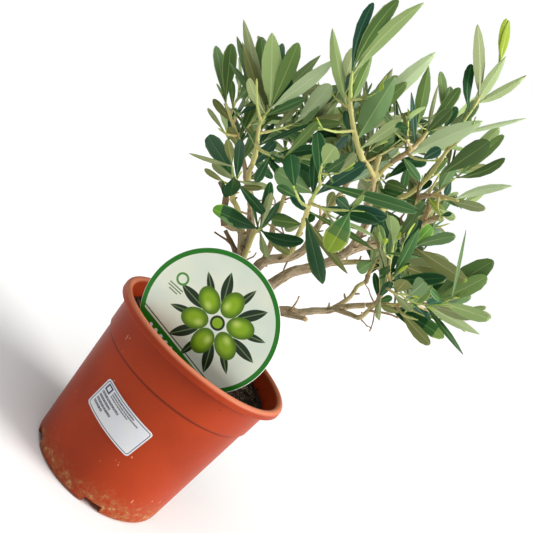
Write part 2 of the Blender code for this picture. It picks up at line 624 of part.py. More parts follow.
def make_pot():
    below, above = STEP_INSIDE
    collar_foot = POT_HEIGHT - COLLAR_DEPTH
    step_foot = collar_foot - STEP_HEIGHT
    under_rim = POT_HEIGHT - RIM_DEPTH
    bead = (RIM_RADIUS + RIM_INNER_RADIUS) / 2
    roll = (RIM_RADIUS - RIM_INNER_RADIUS) / 2
    profile = [(0, FLOOR_TOP), (inner_radius(FLOOR_TOP) - FLOOR_CHAMFER, FLOOR_TOP)]
    for level in (FLOOR_TOP + FLOOR_CHAMFER, step_foot - below, step_foot + above, under_rim - RIM_RUN):
        profile.append((inner_radius(level), level))
    profile += arc((bead, POT_HEIGHT - roll), roll, 180, 0, 7)
    profile += [(RIM_RADIUS, under_rim + RIM_CHAMFER), (RIM_RADIUS - RIM_CHAMFER, under_rim)]
    profile.append((COLLAR_TOP_RADIUS + COLLAR_CHAMFER, under_rim))
    profile.append((COLLAR_TOP_RADIUS, under_rim - COLLAR_CHAMFER))
    profile += [(COLLAR_BOTTOM_RADIUS, collar_foot), (COLLAR_BOTTOM_RADIUS - STEP_WIDTH, step_foot)]
    profile += arc((BASE_RADIUS - FOOT_FILLET, FOOT_FILLET), FOOT_FILLET, 0, -90, 4)
    profile.append((0, 0))
    pot = turned("pot", profile, POT_SIDES, material("terracotta_plastic", TERRACOTTA))
    reach = (BASE_RADIUS - SLOT_LENGTH, BASE_RADIUS + CUTTER_PAST)
    sides = (-SLOT_WIDTH / 2, SLOT_WIDTH / 2)
    corners = [(x, y, z) for x in reach for y in sides for z in (-CUTTER_PAST, SLOT_HEIGHT)]
    faces = [(0, 1, 3, 2), (4, 6, 7, 5), (0, 4, 5, 1), (2, 3, 7, 6), (0, 2, 6, 4), (1, 5, 7, 3)]
    for slot in range(SLOTS):
        cutter = add(f"slot_cutter_{slot + 1}", (corners, faces))
        cutter.rotation_euler.z = math.radians(FIRST_SLOT_HEADING + 360 * slot / SLOTS)
        cut(pot, cutter)
    return pot


def card_shape(grow=0.0):
    """The disc of the card, or one that stands this much outside it all round."""
    turn, lean = math.radians(CARD_TURN), math.radians(CARD_LEAN)
    level = np.array([math.cos(turn), math.sin(turn), 0.0])
    front = np.array([math.sin(turn), -math.cos(turn), 0.0])
    upright = math.cos(lean) * np.array([0, 0, 1.0]) + math.sin(lean) * front
    half = (CARD_THICKNESS / 2 + grow) * np.cross(level, upright)
    faces = np.array([CARD_CENTRE - half, CARD_CENTRE + half])
    return tube(faces, np.full(2, CARD_RADIUS + grow), CARD_SIDES)


def make_soil():
    """The peat fills the pot up to its line, a little higher round the trunk, with a slit for the card."""
    floor = FLOOR_TOP + GAP
    top = SOIL_TOP - GAP
    edge = top - SOIL_RISE
    step = POT_HEIGHT - COLLAR_DEPTH - STEP_HEIGHT - STEP_INSIDE[0] - SOIL_CLEAR
    profile = [(0, top), (MOUND_TOP_RADIUS, top), (MOUND_FOOT_RADIUS, edge)]
    profile += [(inner_radius(level) - SOIL_CLEAR, level) for level in (edge, step, floor + FLOOR_CHAMFER)]
    profile += [(inner_radius(floor) - FLOOR_CHAMFER - SOIL_CLEAR, floor), (0, floor)]
    soil = turned("soil", profile, POT_SIDES, material("peat", PEAT))
    cut(soil, add("card_cutter", card_shape(GAP)))
    return soil


def make_sticker():
    """A thin sheet wrapped round the wall: a grid over the sheet with its corners cut off at their radius."""
    columns, rows = 13, 4
    across = np.linspace(-0.5, 0.5, columns) * STICKER_WIDTH
    upward = np.linspace(-0.5, 0.5, rows) * STICKER_HEIGHT
    turn = math.radians(STICKER_TURN)
    middle = wall_radius(STICKER_LEVEL)
    corner_cut = STICKER_CORNER * (1 - math.cos(math.radians(45)))
    layers = []
    for stand_off in (GAP, GAP + STICKER_THICKNESS):
        for v in upward:
            for u in across:
                pulled = corner_cut if abs(u) == across[-1] and abs(v) == upward[-1] else 0.0
                u_in, v_in = u - math.copysign(pulled, u), v - math.copysign(pulled, v)
                sideways = u_in * math.cos(turn) - v_in * math.sin(turn)
                level = STICKER_LEVEL + u_in * math.sin(turn) + v_in * math.cos(turn)
                angle = math.radians(STICKER_HEADING) + sideways / middle
                radius = wall_radius(level) + stand_off
                layers.append((radius * math.cos(angle), radius * math.sin(angle), level))
    count = columns * rows
    faces = []
    for j in range(rows - 1):
        for i in range(columns - 1):
            a = j * columns + i
            faces.append((a, a + columns, a + columns + 1, a + 1))
            faces.append((count + a, count + a + 1, count + a + columns + 1, count + a + columns))
    rim = list(range(columns)) + [j * columns + columns - 1 for j in range(1, rows)]
    rim += [(rows - 1) * columns + i for i in range(columns - 2, -1, -1)]
    rim += [j * columns for j in range(rows - 2, 0, -1)]
    for a, b in zip(rim, rim[1:] + rim[:1]):
        faces.append((a, b, count + b, count + a))
    return add("sticker", (layers, faces), material("sticker_paper", STICKER_PAPER))


def make_limbs(limbs):
    """Each limb as one tapering solid, cut clear of those before it."""
    bark = material("bark", BARK)
    swollen = {}
    for name, (points, radii) in limbs.items():
        foot_axis = (0, 0, 1) if name == "trunk" else None
        limb = add(name, tube(points, radii, sides_of(name), foot_axis), bark)
        mine = Thing(name, tube(points, radii + GAP, sides_of(name)))
        for other, (thing, cutter) in swollen.items():
            if mine.meets(thing) or other == LIMBS[name][0]:
                cut(limb, cutter)
        settle(limb, smooth=50)
        foot = points[0] - unit(points[1] - points[0]) * GAP
        tip = points[-1] + unit(points[-1] - points[-2]) * GAP
        longer = np.vstack([foot, points[1:-1], tip])
        cutter = add(name + "_cutter", tube(longer, radii + GAP, sides_of(name)))
        cutter.hide_render = True
        swollen[name] = mine, cutter
    discard([cutter for _, cutter in swollen.values()])


def make_mass(name, twigs, leaves, finish):
    """One Boolean union of a mass's twigs and leaves."""
    sources = bpy.data.collections.new(name + "_sources")
    bpy.context.scene.collection.children.link(sources)
    pieces = []
    for number, twig in enumerate(twigs):
        foot, tip = STEM_DIAMETERS if number == 0 else SHOOT_DIAMETERS
        radii = np.linspace(foot, tip, len(twig)) / 2
        past = twig[-1] + TWIG_PAST * unit(twig[-1] - twig[-2])
        pieces.append(add(f"twig_{number}", tube(np.vstack([twig[:-1], past]), radii, TWIG_SIDES)))
    for number, (root, ahead, facing, length, width) in enumerate(leaves):
        sunk = root - (ROOT_SUNK + ROOT_STEP * (number % ROOT_STEPS)) * ahead
        pieces.append(add(f"leaf_{number}", blade(sunk, ahead, facing, length, width, LEAF_THICKNESS)))
    mass = pieces[0]
    mass.name = name
    mass.data.materials.append(finish)
    for piece in pieces[1:]:
        bpy.context.scene.collection.objects.unlink(piece)
        sources.objects.link(piece)
    union = mass.modifiers.new("union", "BOOLEAN")
    union.operation = "UNION"
    union.solver = "MANIFOLD"
    union.operand_type = "COLLECTION"
    union.collection = sources
    scraps = settle(mass)
    discard(list(sources.objects))
    bpy.data.collections.remove(sources)
    print(f"{name}: {len(leaves)} leaves, {len(mass.data.polygons)} triangles, {scraps} scraps dropped")


def main():
    for obj in list(bpy.data.objects):
        bpy.data.objects.remove(obj)
    corners, limbs = grow_limbs()
    make_pot()
    make_soil()
    add("picture_card", card_shape(), material("card_stock", CARD_STOCK))
    make_sticker()
    make_limbs(limbs)
    twigs, leaves = grow_foliage(corners, limbs, [card_shape(ROOM)])
    green = material("leaf_green", LEAF_GREEN)
    for name in MASSES:
        make_mass(name, twigs[name], leaves[name], green)
    print(sum(len(found) for found in leaves.values()), "leaves in all")


if __name__ == "__main__":
    main()
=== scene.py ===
import math
import random

import bpy
import numpy as np
from mathutils import Matrix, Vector
from mathutils.bvhtree import BVHTree


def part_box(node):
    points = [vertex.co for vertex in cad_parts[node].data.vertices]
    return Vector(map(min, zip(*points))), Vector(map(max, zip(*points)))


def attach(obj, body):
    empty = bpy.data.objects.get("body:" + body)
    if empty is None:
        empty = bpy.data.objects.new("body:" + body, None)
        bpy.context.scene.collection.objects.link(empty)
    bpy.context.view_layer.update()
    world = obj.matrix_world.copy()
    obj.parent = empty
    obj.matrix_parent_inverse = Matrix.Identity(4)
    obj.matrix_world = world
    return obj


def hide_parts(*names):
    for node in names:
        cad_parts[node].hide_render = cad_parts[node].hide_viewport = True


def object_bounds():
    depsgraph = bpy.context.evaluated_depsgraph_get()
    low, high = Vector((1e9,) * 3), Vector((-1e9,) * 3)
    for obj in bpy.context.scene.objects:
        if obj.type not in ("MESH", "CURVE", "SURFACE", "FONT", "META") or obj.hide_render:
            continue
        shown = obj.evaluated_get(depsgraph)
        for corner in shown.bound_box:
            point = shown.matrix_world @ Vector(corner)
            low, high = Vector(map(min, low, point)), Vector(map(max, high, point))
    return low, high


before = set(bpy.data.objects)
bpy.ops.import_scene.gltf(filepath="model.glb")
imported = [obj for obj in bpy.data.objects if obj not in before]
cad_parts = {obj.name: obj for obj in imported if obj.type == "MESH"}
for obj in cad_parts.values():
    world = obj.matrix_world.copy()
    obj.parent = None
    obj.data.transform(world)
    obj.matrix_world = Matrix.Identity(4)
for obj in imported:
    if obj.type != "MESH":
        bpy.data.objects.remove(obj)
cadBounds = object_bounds()  # the solids' own box, kept before anything is added
mm = 0.001  # lengths below are millimetres, and meshes are made in metres
printSpan = 100  # millimetres that a printed piece's own square of coordinates measures across
slanting = (0.3, 0.9, 0.1)  # a direction that no limb or twig runs along, from which its rings start
print("loaded", len(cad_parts), "solids")


def unit(vectors):
    return vectors / np.linalg.norm(vectors, axis=-1, keepdims=True)


def eased(share):
    return share * share * (3 - 2 * share)


def noise(points, seed=0):
    # random numbers from -1 to 1 at the whole points of a lattice, eased between the eight round each point
    cell = np.floor(points).astype(np.int64)
    near = eased(points - cell)
    total = np.zeros(points.shape[:-1])
    for corner in range(8):
        step = np.array([corner & 1, corner >> 1 & 1, corner >> 2 & 1])
        key = ((cell + step) * (73856093, 19349663, 83492791)).sum(axis=-1) ^ (seed * 2654435761)
        key = (key ^ (key >> 13)) * 1274126177 & 0xFFFFFFFF
        value = ((key ^ (key >> 16)) & 0xFFFF) / 32767.5 - 1
        total += value * np.prod(np.where(step, near, 1 - near), axis=-1)
    return total


def layered(points, seed=0, layers=3):
    # noise added to itself at twice the fineness and half the strength, layer by layer
    return sum(noise(points * 2.0**i + 17.3 * i, seed + i) * 0.5**i for i in range(layers))


def gridQuads(rows, columns, closed=False):
    # the quads of a grid of points numbered row by row; closed joins its last column to its first
    row = np.arange(rows - 1)[:, None] * columns
    column = np.arange(columns if closed else columns - 1)[None, :]
    a, b = row + column, row + (column + 1) % columns
    return np.stack([a, b, b + columns, a + columns], axis=-1).reshape(-1, 4)


def closedGrid(rows, sides, turnedIn=False):
    # quads of a grid closed round its columns, and a fan of triangles to a pole at each end; the two poles
    # are numbered after the grid, and turnedIn turns every face over
    quads = gridQuads(rows, sides, True)
    here, there = np.arange(sides), (np.arange(sides) + 1) % sides
    last, count = (rows - 1) * sides, rows * sides
    first = np.stack([there, here, np.full(sides, count)], axis=-1)
    second = np.stack([here + last, there + last, np.full(sides, count + 1)], axis=-1)
    fans = np.vstack([first, second])
    return (quads[:, ::-1], fans[:, [1, 0, 2]]) if turnedIn else (quads, fans)


def repeated(faces, size, count):
    # the faces of one piece, numbered again for each of its copies of this many points
    return (faces[None] + (np.arange(count) * size)[:, None, None]).reshape(-1, faces.shape[1])


def joined(shapes):
    # points, quads and triangles of several shapes as one
    starts = np.cumsum([0] + [len(shape[0]) for shape in shapes])
    faces = [np.vstack([shape[kind] + start for shape, start in zip(shapes, starts)]) for kind in (1, 2)]
    return np.vstack([shape[0] for shape in shapes]), *faces


def circle(sides):
    angles = 2 * math.pi * np.arange(sides) / sides
    return np.stack([np.cos(angles), np.sin(angles)], axis=-1)


def addMesh(name, points, quads, triangles=None, materials=(), kinds=None, uvs=None, values=None):
    # points in millimetres; kinds is each face's material, uvs one pair and values one number a point
    mesh = bpy.data.meshes.new(name)
    triangles = np.zeros((0, 3), np.int64) if triangles is None else triangles
    corners = np.concatenate([quads.ravel(), triangles.ravel()]).astype(np.int32)
    sizes = np.concatenate([np.full(len(quads), 4), np.full(len(triangles), 3)])
    mesh.vertices.add(len(points))
    mesh.vertices.foreach_set("co", (np.asarray(points) * mm).astype(np.float32).ravel())
    mesh.loops.add(len(corners))
    mesh.loops.foreach_set("vertex_index", corners)
    mesh.polygons.add(len(sizes))
    mesh.polygons.foreach_set("loop_start", np.r_[0, np.cumsum(sizes)[:-1]].astype(np.int32))
    mesh.polygons.foreach_set("use_smooth", np.ones(len(sizes), bool))
    for finish in materials:
        mesh.materials.append(finish.material)
    if kinds is not None:
        mesh.polygons.foreach_set("material_index", np.asarray(kinds, np.int32))
    if uvs is not None:
        layer = mesh.uv_layers.new(name="place")
        layer.data.foreach_set("uv", np.asarray(uvs, np.float32)[corners].ravel())
    for key, numbers in (values or {}).items():
        attribute = mesh.attributes.new(key, "FLOAT", "POINT")
        attribute.data.foreach_set("value", np.asarray(numbers, np.float32))
    mesh.update(calc_edges=True)
    obj = bpy.data.objects.new(name, mesh)
    bpy.context.scene.collection.objects.link(obj)
    return obj


def settle(obj, sharpAbove=None):
    # gives the object the mesh that its modifiers make
    graph = bpy.context.evaluated_depsgraph_get()
    made = bpy.data.meshes.new_from_object(obj.evaluated_get(graph))
    obj.modifiers.clear()
    obj.data = made
    made.shade_smooth()
    if sharpAbove:
        made.set_sharp_from_angle(angle=math.radians(sharpAbove))
    return obj


def finishPiece(obj, slot, *nodes):
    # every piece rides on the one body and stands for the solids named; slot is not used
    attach(obj, "root")
    if nodes:
        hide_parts(*nodes)
    mesh = obj.data
    mesh.calc_loop_triangles()
    print(f"  {obj.name}: {len(mesh.loop_triangles)} triangles")
    return obj


class Wire:
    # one output of a shader node; its arithmetic, partly set after the class, adds Math nodes
    def __init__(self, finish, socket):
        self.finish = finish
        self.socket = socket

    def maths(self, operation, *values):
        return self.finish.node("ShaderNodeMath", {"operation": operation}, dict(enumerate(values)))

    def __abs__(self):
        return self.maths("ABSOLUTE", self)

    def atLeast(self, other):
        return self.maths("MAXIMUM", self, other)

    def rise(self, low, high):
        # 0 below low and 1 above high, eased between; with low over high it falls instead
        ends = {0: self, 1: low, 2: high, 3: 0.0, 4: 1.0}
        return self.finish.node("ShaderNodeMapRange", {"interpolation_type": "SMOOTHSTEP"}, ends)


operations = dict(add="ADD", sub="SUBTRACT", mul="MULTIPLY", truediv="DIVIDE", pow="POWER")
for method, operation in operations.items():
    # each with the wire on the left, and turned about with the wire on the right
    setattr(Wire, f"__{method}__", lambda left, right, kind=operation: left.maths(kind, left, right))
    setattr(Wire, f"__r{method}__", lambda right, left, kind=operation: right.maths(kind, left, right))


def linear(red, green, blue):
    # a screen colour, 0 to 255, as the linear values that shaders take
    screen = np.array([red, green, blue]) / 255
    return tuple(np.where(screen <= 0.04045, screen / 12.92, ((screen + 0.055) / 1.055) ** 2.4).tolist())


class Finish:
    # a material: node() adds one of any type, with its settings and the values or links of its sockets
    def __init__(self, name, color, roughness, constants=None):
        self.material = bpy.data.materials.new(name)
        self.material.use_nodes = True
        self.tree = self.material.node_tree
        self.shader = self.tree.nodes["Principled BSDF"]
        self.color = linear(*color)
        self.material.diffuse_color = (*self.color, 1)
        self.shader.inputs["Base Color"].default_value = (*self.color, 1)
        self.shader.inputs["Roughness"].default_value = roughness
        for socket, value in (constants or {}).items():
            self.shader.inputs[socket].default_value = value

    def node(self, kind, settings=None, sockets=None, output=0):
        made = self.tree.nodes.new(kind)
        for key, value in (settings or {}).items():
            setattr(made, key, value)
        for key, value in (sockets or {}).items():
            if isinstance(value, Wire):
                self.tree.links.new(value.socket, made.inputs[key])
            else:
                made.inputs[key].default_value = value
        return Wire(self, made.outputs[output])

    def feed(self, socket, wire):
        self.tree.links.new(wire.socket, self.shader.inputs[socket])

    def place(self):
        # where a point is on the object, in metres
        return self.node("ShaderNodeTexCoord", output=3)

    def attribute(self, name):
        return self.node("ShaderNodeAttribute", {"attribute_name": name}, output=2)

    def onPrint(self):
        # where a point is on a printed piece, in millimetres from its middle
        x, y, _ = self.parts(self.node("ShaderNodeUVMap", {"uv_map": "place"}))
        return (x - 0.5) * printSpan, (y - 0.5) * printSpan

    def parts(self, vector):
        split = self.node("ShaderNodeSeparateXYZ", None, {0: vector})
        return [Wire(self, split.socket.node.outputs[i]) for i in range(3)]

    def speckle(self, vector, scale, detail=2.0, roughness=0.5):
        # cloudy noise from 0 to 1, mostly between 0.3 and 0.7
        sockets = {"Vector": vector, "Scale": scale, "Detail": detail, "Roughness": roughness}
        return self.node("ShaderNodeTexNoise", {}, sockets)

    def stretched(self, vector, scale, turn=(0, 0, 0)):
        return self.node("ShaderNodeMapping", {}, {"Vector": vector, "Scale": scale, "Rotation": turn})

    def mixed(self, first, second, share):
        # two colours, each a screen colour or a wire, by a share from 0 to 1
        settings = {"data_type": "RGBA"}
        shades = [shade if isinstance(shade, Wire) else (*linear(*shade), 1) for shade in (first, second)]
        return self.node("ShaderNodeMix", settings, {0: share, 6: shades[0], 7: shades[1]}, output=2)

    def coated(self, color, *coats):
        # a colour under coats of other colours, each by its own share
        for coat, share in coats:
            color = self.mixed(color, coat, share)
        return color

    def bumped(self, height, distance, strength=1.0):
        sockets = {"Height": height, "Distance": distance, "Strength": strength}
        self.feed("Normal", self.node("ShaderNodeBump", {}, sockets))


def dealt(name, shades, roughness, gloss, count, quads, triangles, rng):
    # plain finishes of several shades, and each face's number when they are dealt out piece by piece
    shade = rng.integers(0, len(shades), count)
    kinds = [np.repeat(shade, len(faces) // count) for faces in (quads, triangles)]
    shine = {"Specular IOR Level": gloss}
    paints = [Finish(f"{name}_{i + 1}", color, roughness, shine) for i, color in enumerate(shades)]
    return paints, np.concatenate(kinds)


# The camera looks at the upright tree from the front and a little above the rim, rolled on its own axis.
cameraSettings = dict(
    place=(0.0, -0.4749, 0.2565), headingTurn=-0.47, pitch=-8.05, roll=41.14, lens=47.28, sensor=36.0,
    reach=(0.01, 50.0)
)


def makeCamera(s):
    data = bpy.data.cameras.new("camera")
    data.lens, data.sensor_width = s["lens"], s["sensor"]
    data.clip_start, data.clip_end = s["reach"]
    camera = bpy.data.objects.new("camera", data)
    heading = Matrix.Rotation(math.radians(-s["headingTurn"]), 4, "Z")
    pitch = Matrix.Rotation(math.radians(90 + s["pitch"]), 4, "X")
    roll = Matrix.Rotation(math.radians(s["roll"]), 4, "Z")
    camera.matrix_world = Matrix.Translation(s["place"]) @ (heading @ pitch) @ roll
    bpy.context.scene.collection.objects.link(camera)
    bpy.context.scene.camera = camera


# A pale floor under soft studio light: a broad key from the right, one overhead and a pale surround.
studioSettings = dict(
    floorRadius=8.0, floorDrop=0.05, floorShade=(250, 250, 250),
    surround=(0.96, 0.98, 1.0), surroundStrength=0.125, backdrop=1.0,
    keyFrom=(0.95, -0.14, 0.42), keySpread=34.0, keyStrength=3.95, keyColor=(1.0, 0.98, 0.95),
    topFrom=(0.06, -0.22, 1.0), topSpread=60.0, topStrength=2.0
)


def makeSun(name, toward, spread, strength, color=(1, 1, 1)):
    # a distant light that shines from this direction, its width in degrees
    data = bpy.data.lights.new(name, "SUN")
    data.angle, data.energy, data.color = math.radians(spread), strength, color
    light = bpy.data.objects.new(name, data)
    back = unit(np.array(toward, float))
    side = unit(np.cross((0, 0, 1), back))
    axes = np.column_stack([side, np.cross(back, side), back, 2 * back])
    light.matrix_world = Matrix([*axes.tolist(), [0, 0, 0, 1]])
    bpy.context.scene.collection.objects.link(light)


def makeSurround(s):
    # the surround lights the tree softly, and is plain white behind it
    world = bpy.data.worlds.new("surround")
    world.use_nodes = True
    tree = world.node_tree
    shade = tree.nodes["Background"]
    shade.inputs["Color"].default_value = (*s["surround"], 1)
    shade.inputs["Strength"].default_value = s["surroundStrength"]
    plain = tree.nodes.new("ShaderNodeBackground")
    plain.inputs["Strength"].default_value = s["backdrop"]
    plain.inputs["Color"].default_value = (1, 1, 1, 1)
    seen = tree.nodes.new("ShaderNodeLightPath")
    either = tree.nodes.new("ShaderNodeMixShader")
    tree.links.new(seen.outputs["Is Camera Ray"], either.inputs[0])
    tree.links.new(shade.outputs[0], either.inputs[1])
    tree.links.new(plain.outputs[0], either.inputs[2])
    tree.links.new(either.outputs[0], tree.nodes["World Output"].inputs["Surface"])
    bpy.context.scene.world = world


def makeStudio(s):
    # the floor is a disc: rings of points that reach from the middle to its radius
    rings, sides = 4, 96
    radii = np.linspace(0.02, 1, rings)[:, None, None] * s["floorRadius"] / mm
    disc = radii * np.column_stack([circle(sides), np.zeros(sides)])[None]
    points = np.vstack([disc.reshape(-1, 3), [(0, 0, 0)]]) - (0, 0, s["floorDrop"])
    quads, fans = closedGrid(rings, sides, True)
    paint = Finish("floor_paint", s["floorShade"], 0.8)
    floor = addMesh("floor", points, quads, fans[:sides], [paint])
    makeSurround(s)
    makeSun("key", s["keyFrom"], s["keySpread"], s["keyStrength"], s["keyColor"])
    makeSun("overhead", s["topFrom"], s["topSpread"], s["topStrength"])
    bpy.context.scene.view_settings.view_transform = "Standard"


makeCamera(cameraSettings)
makeStudio(studioSettings)
print("camera and studio set")


# The pot is a turned shell: a rolled rim, a collar that ends in a step, a tapering wall and drain slots.
potSettings = dict(
    height=122.5, rimRadius=70.0, rimInner=64.6, rimDepth=6.0, collarTop=63.6, collarBottom=61.8,
    collarDepth=29.3, stepWidth=1.4, stepHeight=1.2, baseRadius=52.9, footFillet=3.0, wall=1.8,
    insideStep=(-0.8, 0.6), beadFoot=4.0, floorFillet=2.0, lip=0.9, tuck=1.2, stepRound=0.35, notchRound=0.3,
    floorTop=7.4, sides=192, slots=5, slotWidth=14.0, slotHeight=5.5, slotLength=22.0, slotCorner=1.4,
    slotBeyond=6.0, firstSlot=283.7,
    # the rim's colour below is a painted highlight along the rim's top, and the step's colour a painted
    # shadow just under the collar's step
    color=(186, 78, 48), clouds=((148, 48, 14), (164, 56, 19)), rimPaintedHighlight=(224, 146, 112),
    stepPaintedShadow=(78, 28, 14), scuffShade=(196, 104, 70), dustShade=(70, 34, 24), paleShade=(214, 150, 118),
    tideShades=((158, 100, 62), (196, 158, 112))
)


def arcPoints(centre, radius, start, end, steps):
    # points of an arc between two angles in degrees
    angles = np.radians(np.linspace(start, end, steps))
    return [(centre[0] + radius * math.cos(a), centre[1] + radius * math.sin(a)) for a in angles]


def wallRadius(level, s=potSettings):
    # outside of the wall between its foot and the step
    top = s["height"] - s["collarDepth"] - s["stepHeight"]
    return np.interp(level, (s["footFillet"], top), (s["baseRadius"], s["collarBottom"] - s["stepWidth"]))


def innerRadius(level, s=potSettings):
    # inside of the wall: it follows the outside at the wall's thickness, through the step as well
    stepFoot = s["height"] - s["collarDepth"] - s["stepHeight"]
    below, above = (stepFoot + offset for offset in s["insideStep"])
    levels = (s["floorTop"], below, above, s["height"] - s["rimDepth"] - s["beadFoot"])
    outer = (wallRadius(s["floorTop"]), wallRadius(stepFoot), s["collarBottom"], s["collarTop"])
    return np.interp(level, levels, np.array(outer) - s["wall"])


def spread(ends, steps):
    # evenly spaced points from one corner of a profile to the next, its last one left out
    (r0, z0), (r1, z1) = ends
    share = np.arange(steps) / steps
    return list(zip(r0 + (r1 - r0) * share, z0 + (z1 - z0) * share))


def potProfile(s):
    # (radius, level) from the middle of the floor up the inside, over the rim and down the outside
    top, underRim = s["height"], s["height"] - s["rimDepth"]
    stepTop = top - s["collarDepth"]
    stepFoot = stepTop - s["stepHeight"]
    bead, roll = (s["rimRadius"] + s["rimInner"]) / 2, (s["rimRadius"] - s["rimInner"]) / 2
    low, high = s["floorTop"], underRim - s["beadFoot"]
    fillet, lip, tuck, foot = s["floorFillet"], s["lip"], s["tuck"], s["footFillet"]
    edge, notch = s["stepRound"], s["notchRound"]
    below, above = (stepFoot + offset for offset in s["insideStep"])
    corner = innerRadius(low) - fillet
    profile = spread([(1.0, low), (corner, low)], 6)
    profile += arcPoints((corner, low + fillet), fillet, -90, -10, 4)
    for a, b, steps in ((low + 3, below, 8), (below, above, 2), (above, high, 6)):
        profile += spread([(innerRadius(a), a), (innerRadius(b), b)], steps)
    profile.append((innerRadius(high), high))
    profile += arcPoints((bead, top - roll), roll, 178, 0, 15)
    profile += spread([(s["rimRadius"], top - roll - 0.4), (s["rimRadius"], underRim + lip)], 3)
    profile += arcPoints((s["rimRadius"] - lip, underRim + lip), lip, 0, -80, 5)
    profile += arcPoints((s["collarTop"] + tuck, underRim - tuck), tuck, 100, 175, 5)
    profile += spread([(s["collarTop"] - 0.05, underRim - 2 * tuck), (s["collarBottom"], stepTop + 0.5)], 8)
    profile += arcPoints((s["collarBottom"] - edge, stepTop + 0.2), edge, 0, -75, 4)
    profile += arcPoints((wallRadius(stepFoot) + notch, stepFoot + 0.6), notch, 110, 180, 4)
    profile += spread([(wallRadius(stepFoot - 1), stepFoot - 1), (s["baseRadius"], foot)], 26)
    profile += arcPoints((s["baseRadius"] - foot, foot), foot, 0, -90, 8)
    profile += spread([(s["baseRadius"] - foot - 2, 0), (1.0, 0)], 8) + [(1.0, 0)]
    return np.array(profile)


def turned(profile, sides):
    # a surface of revolution: each profile point carried round the axis, with a pole closing each end
    levels = np.broadcast_to(profile[:, None, 1:], (len(profile), sides, 1))
    points = np.concatenate([profile[:, None, :1] * circle(sides)[None], levels], axis=-1).reshape(-1, 3)
    poles = [(0, 0, profile[0, 1]), (0, 0, profile[-1, 1])]
    return np.vstack([points, poles]), *closedGrid(len(profile), sides, True)


def slotCutter(s, number):
    # a flat tunnel with rounded upper corners, run from inside the foot to outside it
    half, up, r = s["slotWidth"] / 2, s["slotHeight"], s["slotCorner"]
    beyond = s["slotBeyond"]
    outline = [(half, -beyond)] + arcPoints((half - r, up - r), r, 0, 90, 5)
    outline += arcPoints((r - half, up - r), r, 90, 180, 5) + [(-half, -beyond)]
    count = len(outline)
    reach = (s["baseRadius"] - s["slotLength"], s["baseRadius"] + beyond)
    points = np.vstack([np.column_stack([np.full(count, x), outline]) for x in reach])
    turn = math.radians(s["firstSlot"] + 360 * number / s["slots"])
    cosine, sine = math.cos(turn), math.sin(turn)
    points = points @ np.array([[cosine, sine, 0], [-sine, cosine, 0], [0, 0, 1]])
    middle = np.vstack([points, points[:count].mean(axis=0), points[count:].mean(axis=0)])
    cutter = addMesh(f"slot_cutter_{number}", middle, *closedGrid(2, count))
    cutter.hide_render = True
    return cutter


def potFinish(s):
    # moulded plastic, faintly clouded, with fine scuffs, specks of peat dust and a tan tide mark at its
    # foot; a painted highlight along the rim's top and a painted shadow just under the step
    finish = Finish("terracotta_plastic", s["color"], 0.42, {"Specular IOR Level": 0.14})
    place = finish.place()
    z = finish.parts(place)[2]
    cloud = finish.speckle(place, 22, 3)
    underStep = (s["height"] - s["collarDepth"] - s["stepHeight"] - 0.4) * mm
    scuffs = finish.speckle(finish.stretched(place, (1, 1, 9)), 160, 4, 0.7).rise(0.64, 0.8)
    dust = finish.speckle(place, 520, 2, 0.6).rise(0.69, 0.76) * finish.speckle(place, 60, 1).rise(0.45, 0.7)
    pale = finish.speckle(finish.stretched(place, (1, 1, 0.6)), 330, 1).rise(0.735, 0.775)
    pale = pale * finish.speckle(place, 35, 1).rise(0.5, 0.62)
    # the tide mark: strongest at the very foot, broken up by cloudy noise and reaching higher in places
    reach = 0.005 + 0.022 * finish.speckle(place, 26, 2)
    low = (z / reach).rise(1.3, 0.15)
    crust = finish.speckle(place, 240, 5, 0.68)
    stain = low * crust.rise(0.38, 0.6)
    body = finish.coated(
        finish.mixed(*s["clouds"], cloud.rise(0.3, 0.7)),
        # a painted highlight along the rim's top
        (s["rimPaintedHighlight"], z.rise(0.1197, 0.1221) * 0.65),
        # a painted shadow just under the collar's step
        (s["stepPaintedShadow"], abs(z - underStep).rise(0.0009, 0.0003) * 0.6),
        (s["scuffShade"], scuffs * 0.35),
        (s["dustShade"], dust * (0.35 + 0.5 * z.rise(0.085, 0.11))),
        (s["paleShade"], pale * 0.7),
        (s["tideShades"][0], stain * 0.85),
        (s["tideShades"][1], low * crust.rise(0.55, 0.68) * 0.8)
    )
    finish.feed("Base Color", body)
    finish.feed("Roughness", 0.38 + 0.1 * cloud + 0.3 * stain + 0.15 * scuffs)
    finish.bumped(finish.speckle(place, 900, 2) * 0.35 + stain * crust * 1.2, 0.0002, 0.35)
    return finish


def makePot(s):
    points, quads, triangles = turned(potProfile(s), s["sides"])
    pot = addMesh("pot_shell", points, quads, triangles, [potFinish(s)])
    cutters = [slotCutter(s, number) for number in range(s["slots"])]
    for cutter in cutters:
        cut = pot.modifiers.new(cutter.name, "BOOLEAN")
        cut.operation, cut.solver, cut.object = "DIFFERENCE", "EXACT", cutter
    settle(pot, 35)
    for cutter in cutters:
        bpy.data.objects.remove(cutter)
    return finishPiece(pot, "terracotta_plastic", "pot")


makePot(potSettings)
print("pot made")


# The peat: a clumped bed that fills the pot, loose crumbs of several browns, and pale root fibres.
soilSettings = dict(
    top=111.2, moundTop=26.0, moundFoot=46.0, fall=1.4, clear=0.6, rings=70, sides=220, clump=1.5,
    crumbs=1700, crumbSize=(0.5, 1.9), crumbSquash=((0.9, 1.9), (0.5, 1), (0.4, 0.8)),
    fibres=420, fibreLength=(4, 17), fibreRadius=(0.09, 0.22),
    shades=[(22, 17, 15), (34, 25, 20), (15, 12, 11), (52, 38, 28), (84, 62, 44)],
    fibreShades=[(128, 98, 66), (168, 140, 102), (86, 62, 44)]
)


